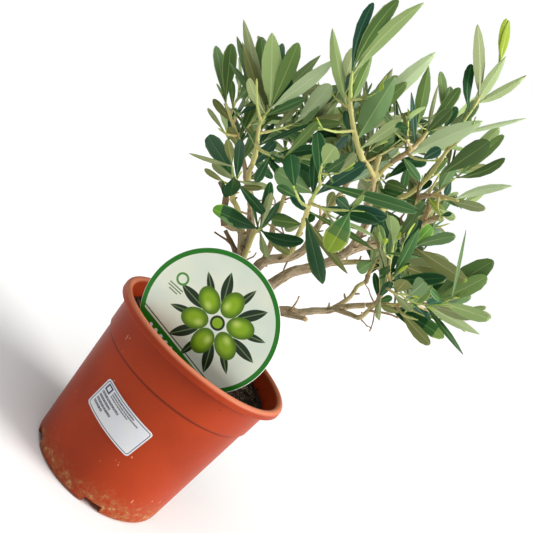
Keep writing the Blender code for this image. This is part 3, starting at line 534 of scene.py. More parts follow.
def soilLevel(x, y, s=soilSettings):
    # the mound's height at a point, with rounded clumps of three sizes standing up out of it
    radius = np.hypot(x, y)
    edge = innerRadius(s["top"]) - s["clear"]
    outward = (radius - s["moundTop"]) / (s["moundFoot"] - s["moundTop"])
    level = s["top"] - 0.3 - s["fall"] * eased(np.clip(outward, 0, 1))
    place = np.stack([x, y, 0 * x], axis=-1)
    clumps = np.abs(noise(place / 6.5, 3)) + 0.5 * np.abs(noise(place / 2.6, 5))
    clumps += 0.25 * noise(place / 1.1, 7)
    return level + s["clump"] * (clumps - 0.45) - 0.8 * np.clip((radius - edge + 5) / 5, 0, 1)


def soilFinish(s):
    # damp peat: near black, browner in patches, rough all over
    finish = Finish("peat", s["shades"][0], 0.95, {"Specular IOR Level": 0.25})
    place = finish.place()
    coarse, fine = finish.speckle(place, 260, 4, 0.65), finish.speckle(place, 1100, 3, 0.7)
    brown = finish.mixed((14, 11, 10), (44, 31, 23), coarse.rise(0.38, 0.75))
    finish.feed("Base Color", finish.mixed(brown, (84, 62, 44), fine.rise(0.64, 0.78) * 0.6))
    finish.bumped(coarse + fine * 0.5, 0.0012, 0.9)
    return finish


def makeSoil(s):
    # the bed is turned like the pot, its top rings lifted to the level worked out for each point
    edge = innerRadius(s["top"]) - s["clear"]
    floor = potSettings["floorTop"] + 0.3
    stepFoot = potSettings["height"] - potSettings["collarDepth"] - potSettings["stepHeight"] - 1.4
    profile = [(r, s["top"]) for r in np.linspace(0.5, edge, s["rings"])]
    profile += [(innerRadius(z) - s["clear"], z) for z in (s["top"] - 8, stepFoot, floor + 2)]
    profile += [(innerRadius(floor) - 2.6, floor), (0.5, floor)]
    points, quads, triangles = turned(np.array(profile), s["sides"])
    lifted = np.r_[0:s["rings"] * s["sides"], len(points) - 2]
    points[lifted, 2] = soilLevel(points[lifted, 0], points[lifted, 1])
    soil = addMesh("peat_bed", points, quads, triangles, [soilFinish(s)])
    finishPiece(soil, "peat", "soil")


def lumps(centres, sizes, squash, seed):
    # small stones: a six-sided ball of three rings and two poles, each point pushed in or out at random
    rng = np.random.default_rng(seed)
    sides, rings = 6, 3
    tilt = math.pi * np.arange(1, rings + 1) / (rings + 1)
    ball, quads, triangles = turned(np.column_stack([np.sin(tilt), np.cos(tilt)]), sides)
    ball[-2:, 2] = 1, -1
    count = len(centres)
    pushed = rng.uniform(0.65, 1.25, (count, len(ball), 1))
    shape = ball[None] * pushed * squash[:, None, :] * sizes[:, None, None]
    frames = randomTurns(count, rng)
    points = np.einsum("nij,npj->npi", frames, shape) + centres[:, None, :]
    return points.reshape(-1, 3), repeated(quads, len(ball), count), repeated(triangles, len(ball), count)


def randomTurns(count, rng):
    # a random rotation for each piece: three random directions squared up to each other
    first = unit(rng.normal(size=(count, 3)))
    second = rng.normal(size=(count, 3))
    second = unit(second - (second * first).sum(axis=1, keepdims=True) * first)
    return np.stack([first, second, np.cross(first, second)], axis=-1)


def scattered(count, reach, rng):
    # points spread evenly over the peat, out to a radius, each on the bed's own level
    radius = reach * np.sqrt(rng.uniform(0.006, 1, count))
    angle = rng.uniform(0, 2 * math.pi, count)
    x, y = radius * np.cos(angle), radius * np.sin(angle)
    return np.column_stack([x, y, soilLevel(x, y)])


def makeCrumbs(s):
    rng = np.random.default_rng(41)
    centres = scattered(s["crumbs"], innerRadius(s["top"]) - 1.5, rng)
    sizes = rng.uniform(*s["crumbSize"], s["crumbs"]) * rng.uniform(0.4, 1, s["crumbs"])
    squash = np.column_stack([rng.uniform(*span, s["crumbs"]) for span in s["crumbSquash"]])
    centres[:, 2] += 0.15 * sizes
    points, quads, triangles = lumps(centres, sizes, squash, 42)
    paints, kinds = dealt("peat_crumb", s["shades"], 0.92, 0.25, s["crumbs"], quads, triangles, rng)
    crumbs = addMesh("peat_crumbs", points, quads, triangles, paints, kinds)
    crumbs.data.set_sharp_from_angle(angle=math.radians(40))
    finishPiece(crumbs, "peat")


def tubes(routes, radii, sides):
    # bars along many routes at once, shape (bars, steps, 3), each ring square to its route without twist
    ahead = unit(np.gradient(routes, axis=1))
    count, steps = routes.shape[:2]
    side = unit(np.cross(ahead[:, 0], slanting))
    cosines, sines = circle(sides).T[:, None, :, None]
    rings = []
    for step in range(steps):
        axis = ahead[:, step]
        side = unit(side - (side * axis).sum(axis=1, keepdims=True) * axis)
        ring = cosines * side[:, None] + sines * np.cross(axis, side)[:, None]
        rings.append(routes[:, step, None] + radii[:, step, None, None] * ring)
    skin = np.stack(rings, axis=1).reshape(count, -1, 3)
    points = np.concatenate([skin, routes[:, :1], routes[:, -1:]], axis=1)
    size = points.shape[1]
    quads, triangles = closedGrid(steps, sides)
    return points.reshape(-1, 3), repeated(quads, size, count), repeated(triangles, size, count)


def makeFibres(s):
    # thin roots lying over the peat: each curves at random and stays just above the bed's level
    rng = np.random.default_rng(43)
    count, steps = s["fibres"], 9
    start = scattered(count, innerRadius(s["top"]) - 9, rng)[:, :2]
    heading = rng.uniform(0, 2 * math.pi, count)
    length = rng.uniform(*s["fibreLength"], count)
    bends = np.cumsum(rng.normal(0, 0.32, (count, steps)), axis=1) + heading[:, None]
    hop = (length / steps)[:, None, None] * np.stack([np.cos(bends), np.sin(bends)], axis=-1)
    flat = start[:, None] + np.cumsum(hop, axis=1)
    reach = innerRadius(s["top"]) - 2.0
    flat *= np.minimum(1, reach / np.linalg.norm(flat, axis=-1, keepdims=True))
    arch = np.sin(math.pi * np.linspace(0, 1, steps))[None] * rng.uniform(-0.2, 1.6, (count, 1))
    level = soilLevel(flat[..., 0], flat[..., 1]) + arch
    routes = np.concatenate([flat, level[..., None]], axis=-1)
    radii = rng.uniform(*s["fibreRadius"], (count, 1)) * np.linspace(1, 0.5, steps)[None]
    points, quads, triangles = tubes(routes, radii, 4)
    paints, kinds = dealt("root_fibre", s["fibreShades"], 0.8, 0.5, count, quads, triangles, rng)
    finishPiece(addMesh("root_fibres", points, quads, triangles, paints, kinds), "peat")


makeSoil(soilSettings)
makeCrumbs(soilSettings)
makeFibres(soilSettings)
print("peat made")


# Limbs: the limb each leaves, how far along that, diameters at foot and tip, and its runs of
# (heading, rise, length) in degrees and millimetres. The trunk starts at the peat.
limbTable = {
    "trunk": (None, 0, 17, 14, [(65, 85, 21), (145, 85, 24)]),
    "bough_left": ("trunk", 0.8, 8.5, 4,
        [(190, 60, 41), (235, 60, 16), (140, 50, 9), (140, 35, 11), (145, 45, 11), (155, 25, 10)]),
    "bough_centre": ("trunk", 0.95, 8.5, 3.6,
        [(200, 75, 31), (25, 70, 12), (35, 40, 13), (45, 60, 12), (120, 70, 14), (120, 75, 17),
         (130, 80, 17)]),
    "bough_tall": ("trunk", 0.9, 9, 3.6,
        [(20, 75, 32), (45, 65, 15), (30, 50, 13), (25, 55, 16), (20, 70, 15), (235, 80, 11), (225, 70, 15),
         (220, 45, 15), (225, 50, 12), (230, 45, 12), (220, 55, 10)]),
    "bough_right": ("trunk", 0.72, 6.4, 4.2,
        [(10, 50, 38), (10, 30, 11), (15, 45, 12), (15, 40, 9), (20, 50, 10), (5, 50, 8), (355, 45, 9)]),
    "bough_front": ("bough_left", 0.33, 4, 3, [(245, 55, 32), (275, 35, 9)]),
    "bough_low_left": ("bough_left", 0.52, 4.4, 3.4, [(215, 35, 30), (245, 15, 12), (240, 55, 8)]),
    "bough_left_up": ("bough_left", 0.8, 3.8, 3.2, [(205, 45, 23), (225, 60, 10)]),
    "bough_back_left": ("bough_centre", 0.3, 4.6, 3.2,
        [(110, 45, 20), (120, 30, 16), (110, 35, 21), (115, 45, 22), (130, 55, 19)]),
    "bough_centre_front": ("bough_centre", 0.42, 4.2, 3, [(280, 35, 20), (260, 30, 21), (260, 35, 15)]),
    "bough_right_up": ("bough_tall", 0.52, 6.5, 6, [(55, 45, 18), (30, 45, 17), (40, 60, 13), (30, 70, 12)]),
    "bough_top": ("bough_tall", 0.72, 4, 3.4, [(65, 40, 19), (65, 60, 13)]),
    "bough_back": ("bough_tall", 0.42, 4.4, 3.4, [(55, 25, 36), (65, 15, 24), (70, 30, 20)]),
    "bough_upper_left": ("bough_tall", 0.9, 3.4, 2.8, [(240, 10, 16), (225, 5, 8)]),
    "bough_upper_centre": ("bough_tall", 0.88, 3.4, 2.8, [(260, 75, 12), (295, 70, 6)]),
    "bough_upper_right": ("bough_right_up", 0.75, 3.6, 3, [(255, 60, 25), (235, 55, 10)]),
    "bough_right_back": ("bough_right", 0.74, 3.6, 3, [(65, 45, 20), (90, 40, 14), (70, 35, 10)]),
    "bough_right_front": ("bough_right", 0.78, 4, 3,
        [(305, 20, 17), (300, 20, 10), (275, 55, 10), (270, 70, 7)]),
    "stub_left": ("bough_left", 0.28, 5, 3.6, [(215, 50, 33), (210, -5, 7), (220, -5, 7)]),
    "stub_right": ("bough_right", 0.32, 4, 3.4, [(355, 30, 21), (305, 20, 5)]),
    "stub_up_a": ("bough_right_up", 0.97, 5, 4.6, [(45, 75, 14), (180, 65, 11)]),
    "stub_up_b": ("bough_right_up", 0.93, 5.2, 4.6, [(350, 65, 17), (340, 55, 10)]),
}

# Foliage: each mass grows on from its bough's tip. A stem of runs like a limb's; shoots as (twig they
# leave, how far along, heading, rise, length, pairs of leaves, leaf length), where twig 0 is the stem;
# and the leaves that give the crown its outline, as (twig, how far along, heading, rise, length, width,
# +1 with the upper side to the front or -1 with the underside, the tone of the side in front). A leaf
# without a tone holds its place while the pairs grow, and extraLeaves then draws it again.
massTable = {
    "foliage_left_low": dict(
        bough="bough_low_left", seed=17, stem=[(240, 45, 7)],
        shoots=[(0, 1.0, 260, 15, 25, 2, 40), (0, 0.5, 255, -5, 25, 2, 36)],
        outline=[(0, 1.0, 210, 15, 35, 9.5, 1, ""), (0, 1.0, 155, 50, 27, 8, 1, "deep"),
                 (0, 0.9, 140, -5, 28, 6, -1, ""), (0, 0.9, 335, -5, 29, 7.5, 1, ""),
                 (0, 1.0, 50, 20, 28, 5.5, -1, "sage")]),
    "foliage_left": dict(
        bough="bough_left", seed=35, stem=[(170, 40, 15), (170, 35, 17), (190, 30, 15), (205, 30, 12)],
        shoots=[(0, 0.75, 275, 30, 44, 3, 40), (0, 0.85, 110, 30, 44, 3, 42), (0, 0.6, 95, 30, 56, 3, 44),
                (0, 0.4, 105, 10, 64, 3, 42), (0, 0.6, 260, -5, 37, 2, 34)],
        outline=[(0, 1.0, 215, 40, 39, 9.5, 1, ""), (0, 1.0, 160, 50, 42, 9, 1, ""),
                 (0, 0.95, 145, 45, 60, 9, -1, ""), (0, 0.9, 250, -15, 27, 7, 1, ""),
                 (0, 1.0, 270, 0, 42, 7, -1, "")]),
    "foliage_left_top": dict(
        bough="bough_left_up", seed=30, stem=[(225, 60, 10), (210, 55, 17), (225, 80, 12)],
        shoots=[(0, 0.55, 20, 55, 24, 2, 44), (0, 0.3, 310, 15, 42, 3, 44), (0, 0.8, 110, 35, 53, 3, 46),
                (0, 0.75, 255, 20, 48, 3, 42), (0, 0.4, 290, 0, 50, 2, 40)],
        outline=[(0, 1.0, 210, 50, 47, 12.5, -1, ""), (0, 1.0, 20, 75, 50, 8.5, -1, ""),
                 (0, 1.0, 120, 55, 61, 11, 1, ""), (0, 0.95, 90, 70, 54, 7, 1, "fern"),
                 (0, 0.9, 175, 30, 49, 8, -1, ""), (0, 0.9, 150, 30, 77, 8, -1, ""),
                 (0, 0.9, 235, 15, 33, 8, -1, "sage"), (1, 1.0, 75, 85, 34, 9.5, 1, "")]),
    "foliage_front_low": dict(
        bough="bough_front", seed=1, stem=[(280, 25, 6)],
        shoots=[],
        outline=[(0, 1.0, 215, -5, 37, 12.5, 1, ""), (0, 1.0, 330, 25, 33, 9.5, 1, ""),
                 (0, 1.0, 205, 65, 25, 5.5, -1, "sage"), (0, 0.9, 100, 50, 28, 5, 1, "deep"),
                 (0, 0.6, 320, -25, 24, 6, -1, "sage"), (0, 1.0, 250, 40, 42, 7, 1, "")]),
    "foliage_front": dict(
        bough="bough_centre_front", seed=27, stem=[(255, 35, 13), (250, 45, 12), (250, 60, 12)],
        shoots=[(0, 1.0, 260, 15, 32, 2, 42), (0, 0.6, 295, 15, 47, 3, 42), (0, 0.5, 255, 5, 43, 2, 40)],
        outline=[(0, 1.0, 340, 25, 59, 8.5, 1, ""), (0, 1.0, 180, 45, 30, 9, 1, "dark"),
                 (0, 0.8, 205, -5, 29, 11.5, -1, ""), (0, 0.8, 10, 70, 33, 8, 1, ""),
                 (0, 0.1, 315, -20, 50, 10.5, 1, ""), (0, 0.2, 340, -10, 44, 5.5, -1, "olive"),
                 (0, 0.45, 350, 15, 49, 4.5, 1, "")]),
    "foliage_upper_left": dict(
        bough="bough_upper_left", seed=32, stem=[(205, 25, 15), (205, 35, 18), (195, 55, 14), (205, 60, 9)],
        shoots=[(0, 0.35, 250, -20, 41, 3, 42), (0, 0.6, 130, 5, 32, 3, 42), (0, 0.3, 95, 25, 79, 3, 46),
                (0, 0.7, 285, 10, 39, 2, 42)],
        outline=[(0, 1.0, 220, 55, 40, 7.5, 1, ""), (0, 1.0, 150, 75, 50, 8.5, 1, ""),
                 (0, 0.95, 35, 90, 58, 9.5, -1, ""), (0, 0.9, 200, 25, 33, 8.5, -1, ""),
                 (0, 0.22, 190, 80, 46, 16.5, -1, "leek"), (0, 0.65, 120, 60, 40, 7.5, -1, ""),
                 (0, 0.1, 290, 50, 37, 7.5, -1, "cream")]),
    "foliage_upper_centre": dict(
        bough="bough_upper_centre", seed=44,
        stem=[(305, 65, 6), (315, 70, 8), (345, 85, 11), (120, 80, 13)],
        shoots=[(0, 0.4, 255, 5, 54, 3, 42), (0, 0.5, 100, 25, 66, 3, 46), (0, 0.3, 285, 0, 44, 3, 40)],
        outline=[(0, 0.3, 310, 50, 52, 12.5, -1, ""), (0, 1.0, 180, 45, 36, 9.5, -1, ""),
                 (0, 1.0, 125, 45, 46, 8, 1, ""), (0, 1.0, 105, 65, 32, 8, 1, ""),
                 (0, 0.95, 290, 35, 25, 10, 1, ""), (0, 0.8, 135, 45, 64, 10, -1, ""),
                 (0, 0.7, 225, 20, 34, 7.5, 1, "")]),
    "foliage_top": dict(
        bough="bough_top", seed=41,
        stem=[(325, 65, 11), (280, 70, 16), (250, 65, 25), (235, 65, 19), (240, 75, 10)],
        shoots=[(0, 1.0, 215, 75, 32, 0, 0), (0, 0.35, 70, 25, 54, 3, 44), (0, 0.45, 105, 35, 61, 3, 46),
                (0, 0.6, 270, 20, 39, 2, 40)],
        outline=[(1, 1.0, 200, 55, 27, 9, -1, ""), (0, 1.0, 210, 40, 55, 10.5, -1, ""),
                 (0, 0.95, 235, 20, 42, 8.5, 1, ""), (1, 0.35, 250, 50, 30, 8, -1, ""),
                 (0, 0.95, 35, 70, 49, 7.5, -1, ""), (0, 0.8, 20, 50, 48, 5.5, -1, ""),
                 (1, 1.0, 130, 55, 31, 7, 1, "")]),
    "foliage_upper_right": dict(
        bough="bough_upper_right", seed=20, stem=[(315, 55, 9), (330, 30, 10), (330, 20, 9)],
        shoots=[(0, 0.2, 235, 65, 17, 0, 0), (0, 0.35, 40, 75, 20, 0, 0), (0, 0.6, 60, 15, 53, 3, 42),
                (0, 0.5, 275, -15, 48, 3, 40)],
        outline=[(0, 1.0, 330, 55, 36, 8.5, -1, ""), (0, 0.8, 305, 15, 31, 9.5, -1, ""),
                 (1, 1.0, 300, 65, 39, 13.5, 1, "moss"), (2, 1.0, 25, 80, 43, 6.5, 1, ""),
                 (2, 1.0, 315, 55, 34, 6.5, 1, ""), (1, 0.9, 275, -15, 40, 9.5, -1, ""),
                 (2, 0.9, 60, 25, 37, 8, -1, "")]),
    "foliage_right": dict(
        bough="bough_right", seed=40, stem=[(0, 45, 11), (335, 40, 12), (330, 45, 12), (315, 40, 8)],
        shoots=[(0, 0.55, 75, 30, 59, 3, 46), (0, 0.8, 55, 10, 54, 3, 44), (0, 0.5, 275, 5, 61, 3, 42),
                (0, 0.9, 275, 20, 47, 2, 44)],
        outline=[(0, 1.0, 35, 65, 57, 14.5, 1, ""), (0, 1.0, 310, 60, 45, 11, 1, ""),
                 (0, 1.0, 30, 20, 56, 9, -1, ""), (0, 1.0, 5, 10, 43, 8, -1, ""),
                 (0, 0.95, 335, -10, 43, 5, 1, "mid"), (0, 0.85, 300, -5, 41, 9, 1, ""),
                 (0, 0.8, 340, -25, 30, 6.5, -1, "")]),
    "foliage_right_front": dict(
        bough="bough_right_front", seed=28, stem=[(220, 70, 10), (250, 70, 12)],
        shoots=[(0, 1.0, 110, 70, 24, 0, 0), (0, 0.6, 280, 10, 44, 3, 42), (0, 0.8, 240, 30, 40, 2, 40)],
        outline=[(0, 1.0, 230, 65, 38, 8, 1, "mid"), (0, 0.9, 330, 40, 35, 10, 1, ""),
                 (1, 1.0, 345, 10, 42, 10.5, -1, ""), (1, 1.0, 80, 65, 20, 9, 1, "grass"),
                 (1, 0.9, 55, 35, 46, 8.5, -1, ""), (0, 0.3, 300, -40, 22, 4.5, -1, "sage"),
                 (0, 0.8, 70, 15, 32, 9, -1, "")]),
    "foliage_right_back": dict(
        bough="bough_right_back", seed=37, stem=[(110, 55, 8), (120, 65, 12)],
        shoots=[(0, 1.0, 70, 30, 39, 3, 44), (0, 0.9, 30, 35, 38, 3, 44), (0, 0.8, 55, 5, 64, 3, 42),
                (0, 1.0, 100, 50, 40, 2, 44)],
        outline=[(0, 1.0, 255, -25, 31, 9.5, -1, "leek")]),
    "foliage_back": dict(
        bough="bough_back", seed=16, stem=[(65, 50, 19), (70, 65, 15)],
        shoots=[(0, 1.0, 140, 55, 39, 3, 46), (0, 1.0, 10, 55, 31, 3, 46), (0, 0.6, 65, 5, 42, 3, 44),
                (0, 0.7, 130, 15, 40, 3, 44), (0, 0.3, 25, 5, 40, 2, 44), (0, 0.9, 85, 35, 40, 3, 44)],
        outline=[]),
    "foliage_back_left": dict(
        bough="bough_back_left", seed=15, stem=[(120, 50, 14), (115, 55, 14)],
        shoots=[(0, 1.0, 145, 55, 38, 3, 46), (0, 1.0, 60, 55, 42, 3, 46), (0, 0.6, 145, 5, 37, 3, 44),
                (0, 0.7, 70, 15, 45, 3, 44), (0, 0.3, 110, -5, 42, 2, 42), (0, 0.9, 105, 30, 40, 3, 44)],
        outline=[]),
    "foliage_back_centre": dict(
        bough="bough_centre", seed=25, stem=[(100, 55, 14), (100, 50, 16)],
        shoots=[(0, 1.0, 105, 55, 46, 3, 46), (0, 1.0, 70, 45, 64, 3, 46), (0, 0.7, 90, 15, 89, 3, 44),
                (0, 0.6, 70, 15, 63, 2, 42), (0, 0.9, 135, 25, 50, 2, 44)],
        outline=[]),
}

# The source's rule for leaves: opposite pairs on each shoot, each turned a right angle from the last.
growthSettings = dict(
    trunkFoot=(0.0, 0.0, 111.2), flare=0.42, flareHeight=7.0, limbSides=8, smallLimb=5.0, smallLimbSides=6,
    stemStart=0.4, stemStraight=2.2, shootSag=0.04, twigSides=3, twigRadius=1.0,
    leafStations=(0, 0.34, 0.72, 1), shoulder=0.88, cheek=0.92, thickness=0.7, bend=0.07,
    firstPair=0.3, pairTurn=90, turnPlay=14, halfPlay=12, spreadBase=58, spreadTip=26, spreadPlay=8,
    levelGuide=(0.0, 0.35, 1.0), lift=0.22, leastRise=-0.12, lengthPlay=(0.84, 1.14), lengthBase=1.06,
    lengthTip=0.9, widthRatio=(0.19, 0.25), faceUp=0.5, facePlay=0.3, outlineFace=(0.12, -1.0, 0.45),
    room=0.7, rootShare=0.25, wander=0.09, tries=9,
    cardCentre=(-8.3, -44.8, 145.2), cardLean=3.4, cardTurn=-5.8, cardRadius=46.5, cardThickness=0.8,
    cardSides=48
)


def towards(heading, rise):
    turn, tilt = math.radians(heading), math.radians(rise)
    return np.array([math.cos(turn) * math.cos(tilt), math.sin(turn) * math.cos(tilt), math.sin(tilt)])


def route(start, runs):
    # the corners of runs of (heading, rise, length) laid end to end
    points = [np.asarray(start, float)]
    for heading, rise, length in runs:
        points.append(points[-1] + length * towards(heading, rise))
    return np.array(points)


def arcLengths(points):
    return np.r_[0, np.cumsum(np.linalg.norm(np.diff(points, axis=0), axis=1))]


def placeOn(points, fraction):
    # the point this share of the way along a route, and the direction there
    lengths = arcLengths(points)
    reach = fraction * lengths[-1]
    run = min(np.searchsorted(lengths, reach, side="right") - 1, len(points) - 2)
    step = points[run + 1] - points[run]
    return points[run] + step * (reach - lengths[run]) / (lengths[run + 1] - lengths[run]), unit(step)


def easedRoute(points, steps=2):
    # a Catmull-Rom curve through the corners, this many points to a run
    ends = np.vstack([2 * points[0] - points[1], points, 2 * points[-1] - points[-2]])
    share = (np.arange(steps) / steps)[None, :, None]
    a, b, c, d = (ends[i:len(ends) - 3 + i, None] for i in range(4))
    square = (2 * a - 5 * b + 4 * c - d) * share**2
    cube = (3 * b - a - 3 * c + d) * share**3
    curve = 0.5 * (2 * b + (c - a) * share + square + cube)
    return np.vstack([curve.reshape(-1, 3), points[-1:]])


def tubeShape(points, radii, sides):
    # points and faces of one closed bar, for the tests that keep leaves apart
    ahead = unit(np.gradient(points, axis=0))
    side = unit(np.cross(ahead[0], slanting))
    cosines, sines = circle(sides).T
    rings = []
    for point, axis, radius in zip(points, ahead, radii):
        side = unit(side - side.dot(axis) * axis)
        rings.append(point + radius * (np.outer(cosines, side) + np.outer(sines, np.cross(axis, side))))
    last = (len(points) - 1) * sides
    faces = gridQuads(len(points), sides, True).tolist()
    return np.vstack(rings), faces + [list(range(sides - 1, -1, -1)), list(range(last, last + sides))]


def cardFrame(s=growthSettings):
    # the card's level direction, the way up it and the way square to it
    turn, lean = math.radians(s["cardTurn"]), math.radians(s["cardLean"])
    level = np.array([math.cos(turn), math.sin(turn), 0.0])
    front = np.array([math.sin(turn), -math.cos(turn), 0.0])
    upright = math.cos(lean) * np.array([0, 0, 1.0]) + math.sin(lean) * front
    return level, upright, np.cross(level, upright)


def cardShape(grow, s=growthSettings):
    # the round card as a thin drum, standing this much outside itself
    half = (s["cardThickness"] / 2 + grow) * cardFrame()[2]
    ends = np.array([s["cardCentre"] - half, s["cardCentre"] + half])
    return tubeShape(ends, np.full(2, s["cardRadius"] + grow), s["cardSides"])


def leafShape(root, ahead, facing, length, width, thickness, start=0.0, s=growthSettings):
    # a leaf's outline of six corners with a ridge on each side; start leaves out a share at its root
    across = unit(np.cross(facing, ahead))
    up = np.cross(ahead, across)
    stations = start + (1 - start) * np.array(s["leafStations"])
    spine = root + np.outer(stations * length, ahead) - np.outer(s["bend"] * length * stations**2, up)
    half, rise = 0.5 * width * across, 0.5 * thickness * up
    corners = [spine[0], spine[1] + s["shoulder"] * half, spine[2] + s["cheek"] * half, spine[3]]
    corners += [spine[2] - s["cheek"] * half, spine[1] - s["shoulder"] * half]
    corners += [spine[1] + rise, spine[1] - rise]
    rim = range(6)
    return np.array(corners), [(i, (i + 1) % 6, 7) for i in rim] + [((i + 1) % 6, i, 6) for i in rim]


def outside(points, corners):
    return (points < corners[0]).any() or (points > corners[1]).any()


class Crowd:
    # what leaves keep clear of: whole surfaces for other masses, and outer parts for the mass itself
    def __init__(self):
        self.masses, self.trees, self.outers = [], [], []
        self.centres, self.radii = np.zeros((0, 3)), np.zeros(0)

    def measured(self, mass, shape, outer=None):
        tree = BVHTree.FromPolygons(shape[0].tolist(), shape[1])
        inner = tree if outer is None else BVHTree.FromPolygons(outer[0].tolist(), outer[1])
        centre = (shape[0].min(axis=0) + shape[0].max(axis=0)) / 2
        return mass, tree, inner, centre, np.linalg.norm(shape[0] - centre, axis=1).max()

    def add(self, found):
        mass, tree, outer, centre, radius = found
        self.masses.append(mass)
        self.trees.append(tree)
        self.outers.append(outer)
        self.centres = np.vstack([self.centres, centre])
        self.radii = np.append(self.radii, radius)

    def meets(self, found):
        mass, tree, outer, centre, radius = found
        near = np.linalg.norm(self.centres - centre, axis=1) <= self.radii + radius
        for i in np.flatnonzero(near):
            mine = self.masses[i] == mass
            if (outer.overlap(self.outers[i]) if mine else tree.overlap(self.trees[i])):
                return True
        return False


def growLeaf(mass, root, ahead, facing, size, crowd, chance, f=growthSettings, bounds=None):
    # turns a leaf a little further at each try until it is clear of the others; None if it never is.
    # f gives its room and its tries; bounds are its space's corners and what it has to leave in view
    s = growthSettings
    length, width = size
    for attempt in range(f["tries"]):
        wander = s["wander"] * attempt * np.array([chance.uniform(-1, 1) for _ in range(3)])
        way = unit(ahead + wander)
        out = unit(facing - facing.dot(way) * way)
        wide = (length + f["room"], width + 2 * f["room"], s["thickness"] + 2 * f["room"])
        whole = leafShape(root, way, out, *wide)
        if bounds and (outside(whole[0], bounds[0]) or covers(root, root + length * way, width, bounds[1])):
            continue
        found = crowd.measured(mass, whole, leafShape(root, way, out, *wide, start=s["rootShare"]))
        if not crowd.meets(found):
            crowd.add(found)
            return root, way, out, length, width
    return None


def placedLeaves(mass, table, twigs, crowd, chance, s=growthSettings):
    # leaves at places of their own: their foot on a twig, where they point and which side is in front
    leaves = []
    for origin, fraction, heading, rise, length, width, seen, tone in table:
        line = twigs[origin]
        root = placeOn(line[1:] if origin == 0 else line, fraction)[0]
        ahead, facing = towards(heading, rise), seen * np.array(s["outlineFace"])
        leaf = growLeaf(mass, root, ahead, facing, (length, width), crowd, chance)
        if leaf:
            leaves.append((*leaf, seen, tone))
    return leaves


def leafWay(ahead, turn, spread, lowest, chance, s=growthSettings):
    # where a leaf points: turned round its twig and leaning out by these angles, and no lower than this
    side = unit(np.cross(ahead, s["levelGuide"]))
    angle = math.radians(turn + chance.uniform(-s["halfPlay"], s["halfPlay"]))
    out = math.cos(angle) * side + math.sin(angle) * np.cross(ahead, side)
    lean = math.radians(spread + chance.uniform(-s["spreadPlay"], s["spreadPlay"]))
    way = unit(math.cos(lean) * ahead + math.sin(lean) * out + np.array([0, 0, s["lift"]]))
    return unit(np.array([way[0], way[1], max(way[2], lowest)]))


def leafFacing(ahead, chance, s=growthSettings):
    # which way a leaf's upper side turns: along its twig, upwards and a little at random
    play = s["facePlay"] * np.array([chance.uniform(-1, 1) for _ in range(3)])
    return ahead + np.array([0, 0, s["faceUp"]]) + play


def growPairs(mass, twig, pairs, leaf, crowd, chance, s=growthSettings):
    # the opposite pairs of leaves on one shoot, smaller towards its tip
    leaves = []
    turn = chance.uniform(0, 180)
    for pair in range(pairs):
        share = s["firstPair"] + (1 - s["firstPair"]) * pair / (pairs - 1)
        root, ahead = placeOn(twig, share)
        turn += s["pairTurn"] + chance.uniform(-s["turnPlay"], s["turnPlay"])
        spread = s["spreadBase"] + (s["spreadTip"] - s["spreadBase"]) * share
        smaller = s["lengthBase"] + (s["lengthTip"] - s["lengthBase"]) * share
        for half in (0, 180):
            way = leafWay(ahead, turn + half, spread, s["leastRise"], chance)
            length = leaf * chance.uniform(*s["lengthPlay"]) * smaller
            width = length * chance.uniform(*s["widthRatio"])
            facing = leafFacing(ahead, chance)
            leaves.append(growLeaf(mass, root, way, facing, (length, width), crowd, chance))
    return [leaf for leaf in leaves if leaf]


def growLimbs(s=growthSettings):
    # each limb's corners, and its eased route with its radii
    corners, limbs = {}, {}
    for name, (parent, fraction, foot, tip, runs) in limbTable.items():
        start = placeOn(corners[parent], fraction)[0] if parent else s["trunkFoot"]
        corners[name] = route(start, runs)
        points = easedRoute(corners[name])
        lengths = arcLengths(points)
        radii = np.interp(lengths, (0, lengths[-1]), (foot / 2, tip / 2))
        if not parent:
            radii = radii * (1 + s["flare"] * np.exp(-lengths / s["flareHeight"]))
        limbs[name] = points, radii
    return corners, limbs


def growTwigs(name, corners, s=growthSettings):
    # the stem and the shoots of one mass
    mass = massTable[name]
    bough = corners[mass["bough"]]
    tip, ahead = bough[-1], unit(bough[-1] - bough[-2])
    stem = route(tip, mass["stem"])
    stem[0] = tip + s["stemStart"] * ahead
    twigs = [np.vstack([stem[0], tip + s["stemStraight"] * ahead, stem[1:]])]
    for origin, fraction, heading, rise, length, _, _ in mass["shoots"]:
        start = placeOn(stem if origin == 0 else twigs[origin], fraction)[0]
        half = route(start, [(heading, rise, length / 2)])[1]
        end = route(start, [(heading, rise, length)])[1]
        twigs.append(np.array([start, half - (0, 0, s["shootSag"] * length), end]))
    return twigs


def growFoliage(corners, limbs, s=growthSettings):
    # twigs first, then the leaves that give each mass its outline, then the pairs on its shoots
    crowd = Crowd()
    for name, (points, radii) in limbs.items():
        sides = s["limbSides"] if limbTable[name][2] > s["smallLimb"] else s["smallLimbSides"]
        crowd.add(crowd.measured(name, tubeShape(points, radii + s["room"], sides)))
    crowd.add(crowd.measured("other", cardShape(s["room"])))
    twigs = {name: growTwigs(name, corners) for name in massTable}
    leaves = {name: [] for name in massTable}
    for name, routes in twigs.items():
        for twig in routes:
            radii = np.full(len(twig), s["twigRadius"] + s["room"])
            outer = tubeShape(twig[1:], radii[1:], s["twigSides"])
            crowd.add(crowd.measured(name, tubeShape(twig, radii, s["twigSides"]), outer))
    for name, mass in massTable.items():
        chance = random.Random(f"{name} outline")
        leaves[name] = placedLeaves(name, mass["outline"], twigs[name], crowd, chance)
    for name, mass in massTable.items():
        chance = random.Random(f"{name} pairs {mass['seed']}")
        for twig, shoot in zip(twigs[name][1:], mass["shoots"]):
            if shoot[5]:
                found = growPairs(name, twig, shoot[5], shoot[6], crowd, chance)
                leaves[name] += [(*leaf, 0, "") for leaf in found]
    return twigs, leaves, crowd


